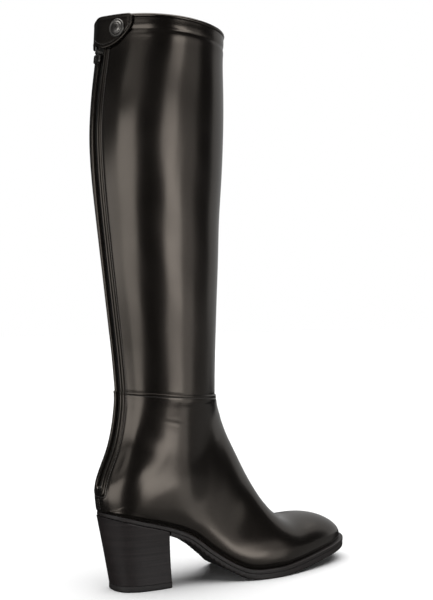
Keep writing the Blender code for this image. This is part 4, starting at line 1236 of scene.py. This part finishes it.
def tab_point(at, z, across, out):
    """A point of the snap tab over the leg at a reach and height."""
    row = back_row(min(z, BACK_Z(TOP)))
    bridge = TAB_BRIDGE * math.exp(-(at / TAB_BRIDGE_REACH) ** 2) * (1 + TAB_BRIDGE_LOW * (1 - across))
    clear = TAB_CLEAR * (1 - 0.7 * float(smooth_step(at, TAB_SEWN_FULL, TAB_SEWN_END)))
    spot = off_back(row, at, clear + bridge + out)
    spot[2] += max(z - BACK_Z(TOP), 0.0)
    return spot


def tab_line(along):
    """Points across the tab at a share of its length: reach, height, place across, distance to the edge."""
    at, low, high = tab_outline(along)
    half = (high - low) / 2
    for across in TAB_ACROSS:
        from_edge = min(half * (1 - abs(across)), at - TAB_FREE_END, TAB_SEWN_END - at)
        yield at, (low + high) / 2 + half * across, across, max(from_edge, 0.0)


def tab_height(from_edge):
    """The tab's thickness, with a round rim and a groove for the stitches."""
    rim = 1 - math.sqrt(max(1 - (1 - min(from_edge / TAB_RIM_REACH, 1.0)) ** 2, 0.0))
    groove = math.exp(-((from_edge - TAB_STITCH_IN) / TAB_GROOVE_WIDTH) ** 2)
    return TAB_THICK - TAB_RIM * rim - TAB_GROOVE * groove


tab_outer = np.array([[tab_point(at, z, across, tab_height(from_edge))
                       for at, z, across, from_edge in tab_line(along)] for along in TAB_SHARES])
tab_inner = np.array([[tab_point(at, z, across, 0.0) for at, z, across, _ in tab_line(along)]
                      for along in TAB_SHARES])
tab_rings = np.concatenate((tab_outer, tab_inner[:, ::-1], tab_outer[:, :1]), axis=1)
piece("snap_strap", solid(tab_rings), leather, ("snap_tab",), angle=55.0)
tab_path, tab_normals = [], []
for along in TAB_SHARES[4:]:
    at, low, high = tab_outline(along)
    if high - low > TAB_STITCH_ROOM:
        z = low + TAB_STITCH_IN
        across = (z - (low + high) / 2) / ((high - low) / 2)
        tab_path.append(tab_point(at, z, across, TAB_THICK - TAB_GROOVE))
        tab_normals.append(back_normal(back_row(min(z, BACK_Z(TOP))), at))
sewn += stitch_row(tab_path, tab_normals)
blobs("stitches", sewn, thread)

CAP_REACH = -19.0
CAP_Z = 454.5
CAP_PROFILE = (
    (0.0, 0.0), (6.9, 0.0), (7.25, 0.2), (7.4, 0.55), (7.4, 1.05), (7.25, 1.45), (6.9, 1.68), (6.4, 1.75),
    (6.0, 1.62), (5.75, 1.5), (5.5, 1.6), (5.2, 1.95), (4.7, 2.2), (4.3, 2.3), (4.05, 2.22), (3.85, 2.3),
    (3.2, 2.62), (2.4, 2.82), (1.5, 2.94), (0.7, 2.99), (0.0, 3.0),
)


def back_frame(row, distance, out):
    """A frame standing on the leg near its back: X across, Y up along the leg, Z outwards."""
    origin = Vector(off_back(row, distance, out)) * MM
    normal = Vector(back_normal(row, distance))
    up = Vector((0, 0, 1)) - normal * normal.z
    up.normalize()
    across = up.cross(normal)
    turn = Matrix((across, up, normal)).transposed().to_4x4()
    return Matrix.Translation(origin) @ turn


cap_bm = bmesh.new()
cap_verts = [cap_bm.verts.new((radius * MM, 0.0, height * MM)) for radius, height in CAP_PROFILE]
cap_edges = [cap_bm.edges.new(pair) for pair in zip(cap_verts, cap_verts[1:])]
bmesh.ops.spin(cap_bm, geom=cap_verts + cap_edges, cent=(0, 0, 0), axis=(0, 0, 1), angle=2 * math.pi,
               steps=64, use_merge=True)
weld(cap_bm)
cap_bridge = TAB_BRIDGE * math.exp(-(CAP_REACH / TAB_BRIDGE_REACH) ** 2)
cap_bm.transform(back_frame(back_row(CAP_Z), CAP_REACH, TAB_CLEAR + cap_bridge + TAB_THICK - 0.1))
piece("snap_button", cap_bm, antique, ("snap_cap",), angle=60.0)

# Solids that stay as they are
for node, material in (("insole", insole_leather), ("zip_slider", antique), ("zip_pull", antique)):
    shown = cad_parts[node]
    shown.data.materials.clear()
    shown.data.materials.append(material)

# Floor, light and camera
FLOOR_HALF = 6.0
SUN_POWER = 3.85
SUN_SPREAD = 84.0
SKY_TONE = (0.025, 0.025, 0.025)
WHITE = (1.0, 1.0, 1.0)
CAMERA_LENS = 69.6
CAMERA_SENSOR = 36.0
CAMERA_PLACE = (-0.4943, -0.8309, 0.238)
CAMERA_AIM = (0.5668, 0.8239, 0.0)
floor_bm = bmesh.new()
bmesh.ops.create_grid(floor_bm, x_segments=1, y_segments=1, size=FLOOR_HALF)
floor_mesh = bpy.data.meshes.new("floor")
floor_bm.to_mesh(floor_mesh)
floor_bm.free()
floor = into_scene("floor", floor_mesh)
floor_paint, floor_tree, floor_shader = new_material("floor_paint", (0.93, 0.93, 0.93), 0.9)
floor_tone = noise(floor_tree, object_place(floor_tree), 3.0)
floor_rough = map_range(floor_tree, floor_tone, 0.0, 1.0, 0.88, 0.92)
floor_tree.links.new(floor_rough, floor_shader.inputs["Roughness"])
floor_mesh.materials.append(floor_paint)
floor.visible_glossy = False
floor.visible_shadow = False


def softbox(name, place, target, width, height, power):
    """A soft rectangular studio light."""
    light = bpy.data.lights.new(name, "AREA")
    light.shape = "RECTANGLE"
    light.size = width
    light.size_y = height
    light.energy = power
    made = into_scene(name, light)
    made.location = place
    aim = Vector(target) - Vector(place)
    made.rotation_euler = aim.to_track_quat("-Z", "Y").to_euler()
    made.visible_camera = False


def around(azimuth, distance, z):
    """A place round the leg, by its direction in plan."""
    turn = math.radians(azimuth)
    return distance * math.cos(turn) + 0.012, distance * math.sin(turn), z


LIGHT_AWAY = 4.0
LIGHT_FROM_Z = 0.2
# Each softbox: name, directions round the boot from and to, angles over the horizon from and to, radiance
SOFTBOXES = (
    ("outer_key", -94.0, -66.0, -14.5, -3.5, 3.0),
    ("outer_top", -101.0, -77.0, -3.5, 10.5, 2.55),
    ("outer_fill", -66.0, -44.0, -22.0, -5.0, 0.9),
    ("outer_haze", -77.0, -44.0, -3.5, 12.0, 0.5),
    ("outer_low", -105.0, -50.0, -42.0, -19.0, 0.18),
    ("front_low", -48.0, 4.0, -38.0, -4.0, 0.16),
    ("back_light", 187.0, 219.0, -19.0, 13.5, 1.95),
    ("back_low", 154.0, 187.0, -16.0, 0.0, 1.45),
    ("back_haze", 128.0, 187.0, 0.0, 22.0, 0.1),
    ("back_top", 186.0, 214.0, 22.0, 40.0, 0.8),
    ("toe_light", -12.0, 52.0, -6.0, 46.0, 0.43),
)
for name, first, last, low, high, radiance in SOFTBOXES:
    azimuth = (first + last) / 2
    width = 2 * LIGHT_AWAY * math.tan(math.radians(last - first) / 2)
    low_z = LIGHT_FROM_Z + LIGHT_AWAY * math.tan(math.radians(low))
    high_z = LIGHT_FROM_Z + LIGHT_AWAY * math.tan(math.radians(high))
    middle = (low_z + high_z) / 2
    softbox(name, around(azimuth, LIGHT_AWAY, middle), around(azimuth, 0.0, middle), width, high_z - low_z,
            radiance * math.pi * width * (high_z - low_z))

overhead = bpy.data.lights.new("overhead", "SUN")
overhead.energy = SUN_POWER
overhead.angle = math.radians(SUN_SPREAD)
into_scene("overhead", overhead)

# The camera sees a white background, and everything else is lit by a dim grey one
world = bpy.data.worlds.new("studio")
bpy.context.scene.world = world
world.use_nodes = True
sky = world.node_tree
seen = add(sky, "ShaderNodeLightPath").outputs["Is Camera Ray"]
sky_tone = mix_colour(sky, seen, SKY_TONE, WHITE)
sky.links.new(sky_tone, sky.nodes["Background"].inputs["Color"])
bpy.context.scene.view_settings.view_transform = "Standard"

camera_data = bpy.data.cameras.new("camera")
camera_data.lens = CAMERA_LENS
camera_data.sensor_width = CAMERA_SENSOR
camera = into_scene("camera", camera_data)
camera.location = CAMERA_PLACE
camera.rotation_euler = Vector(CAMERA_AIM).to_track_quat("-Z", "Y").to_euler()
bpy.context.scene.camera = camera
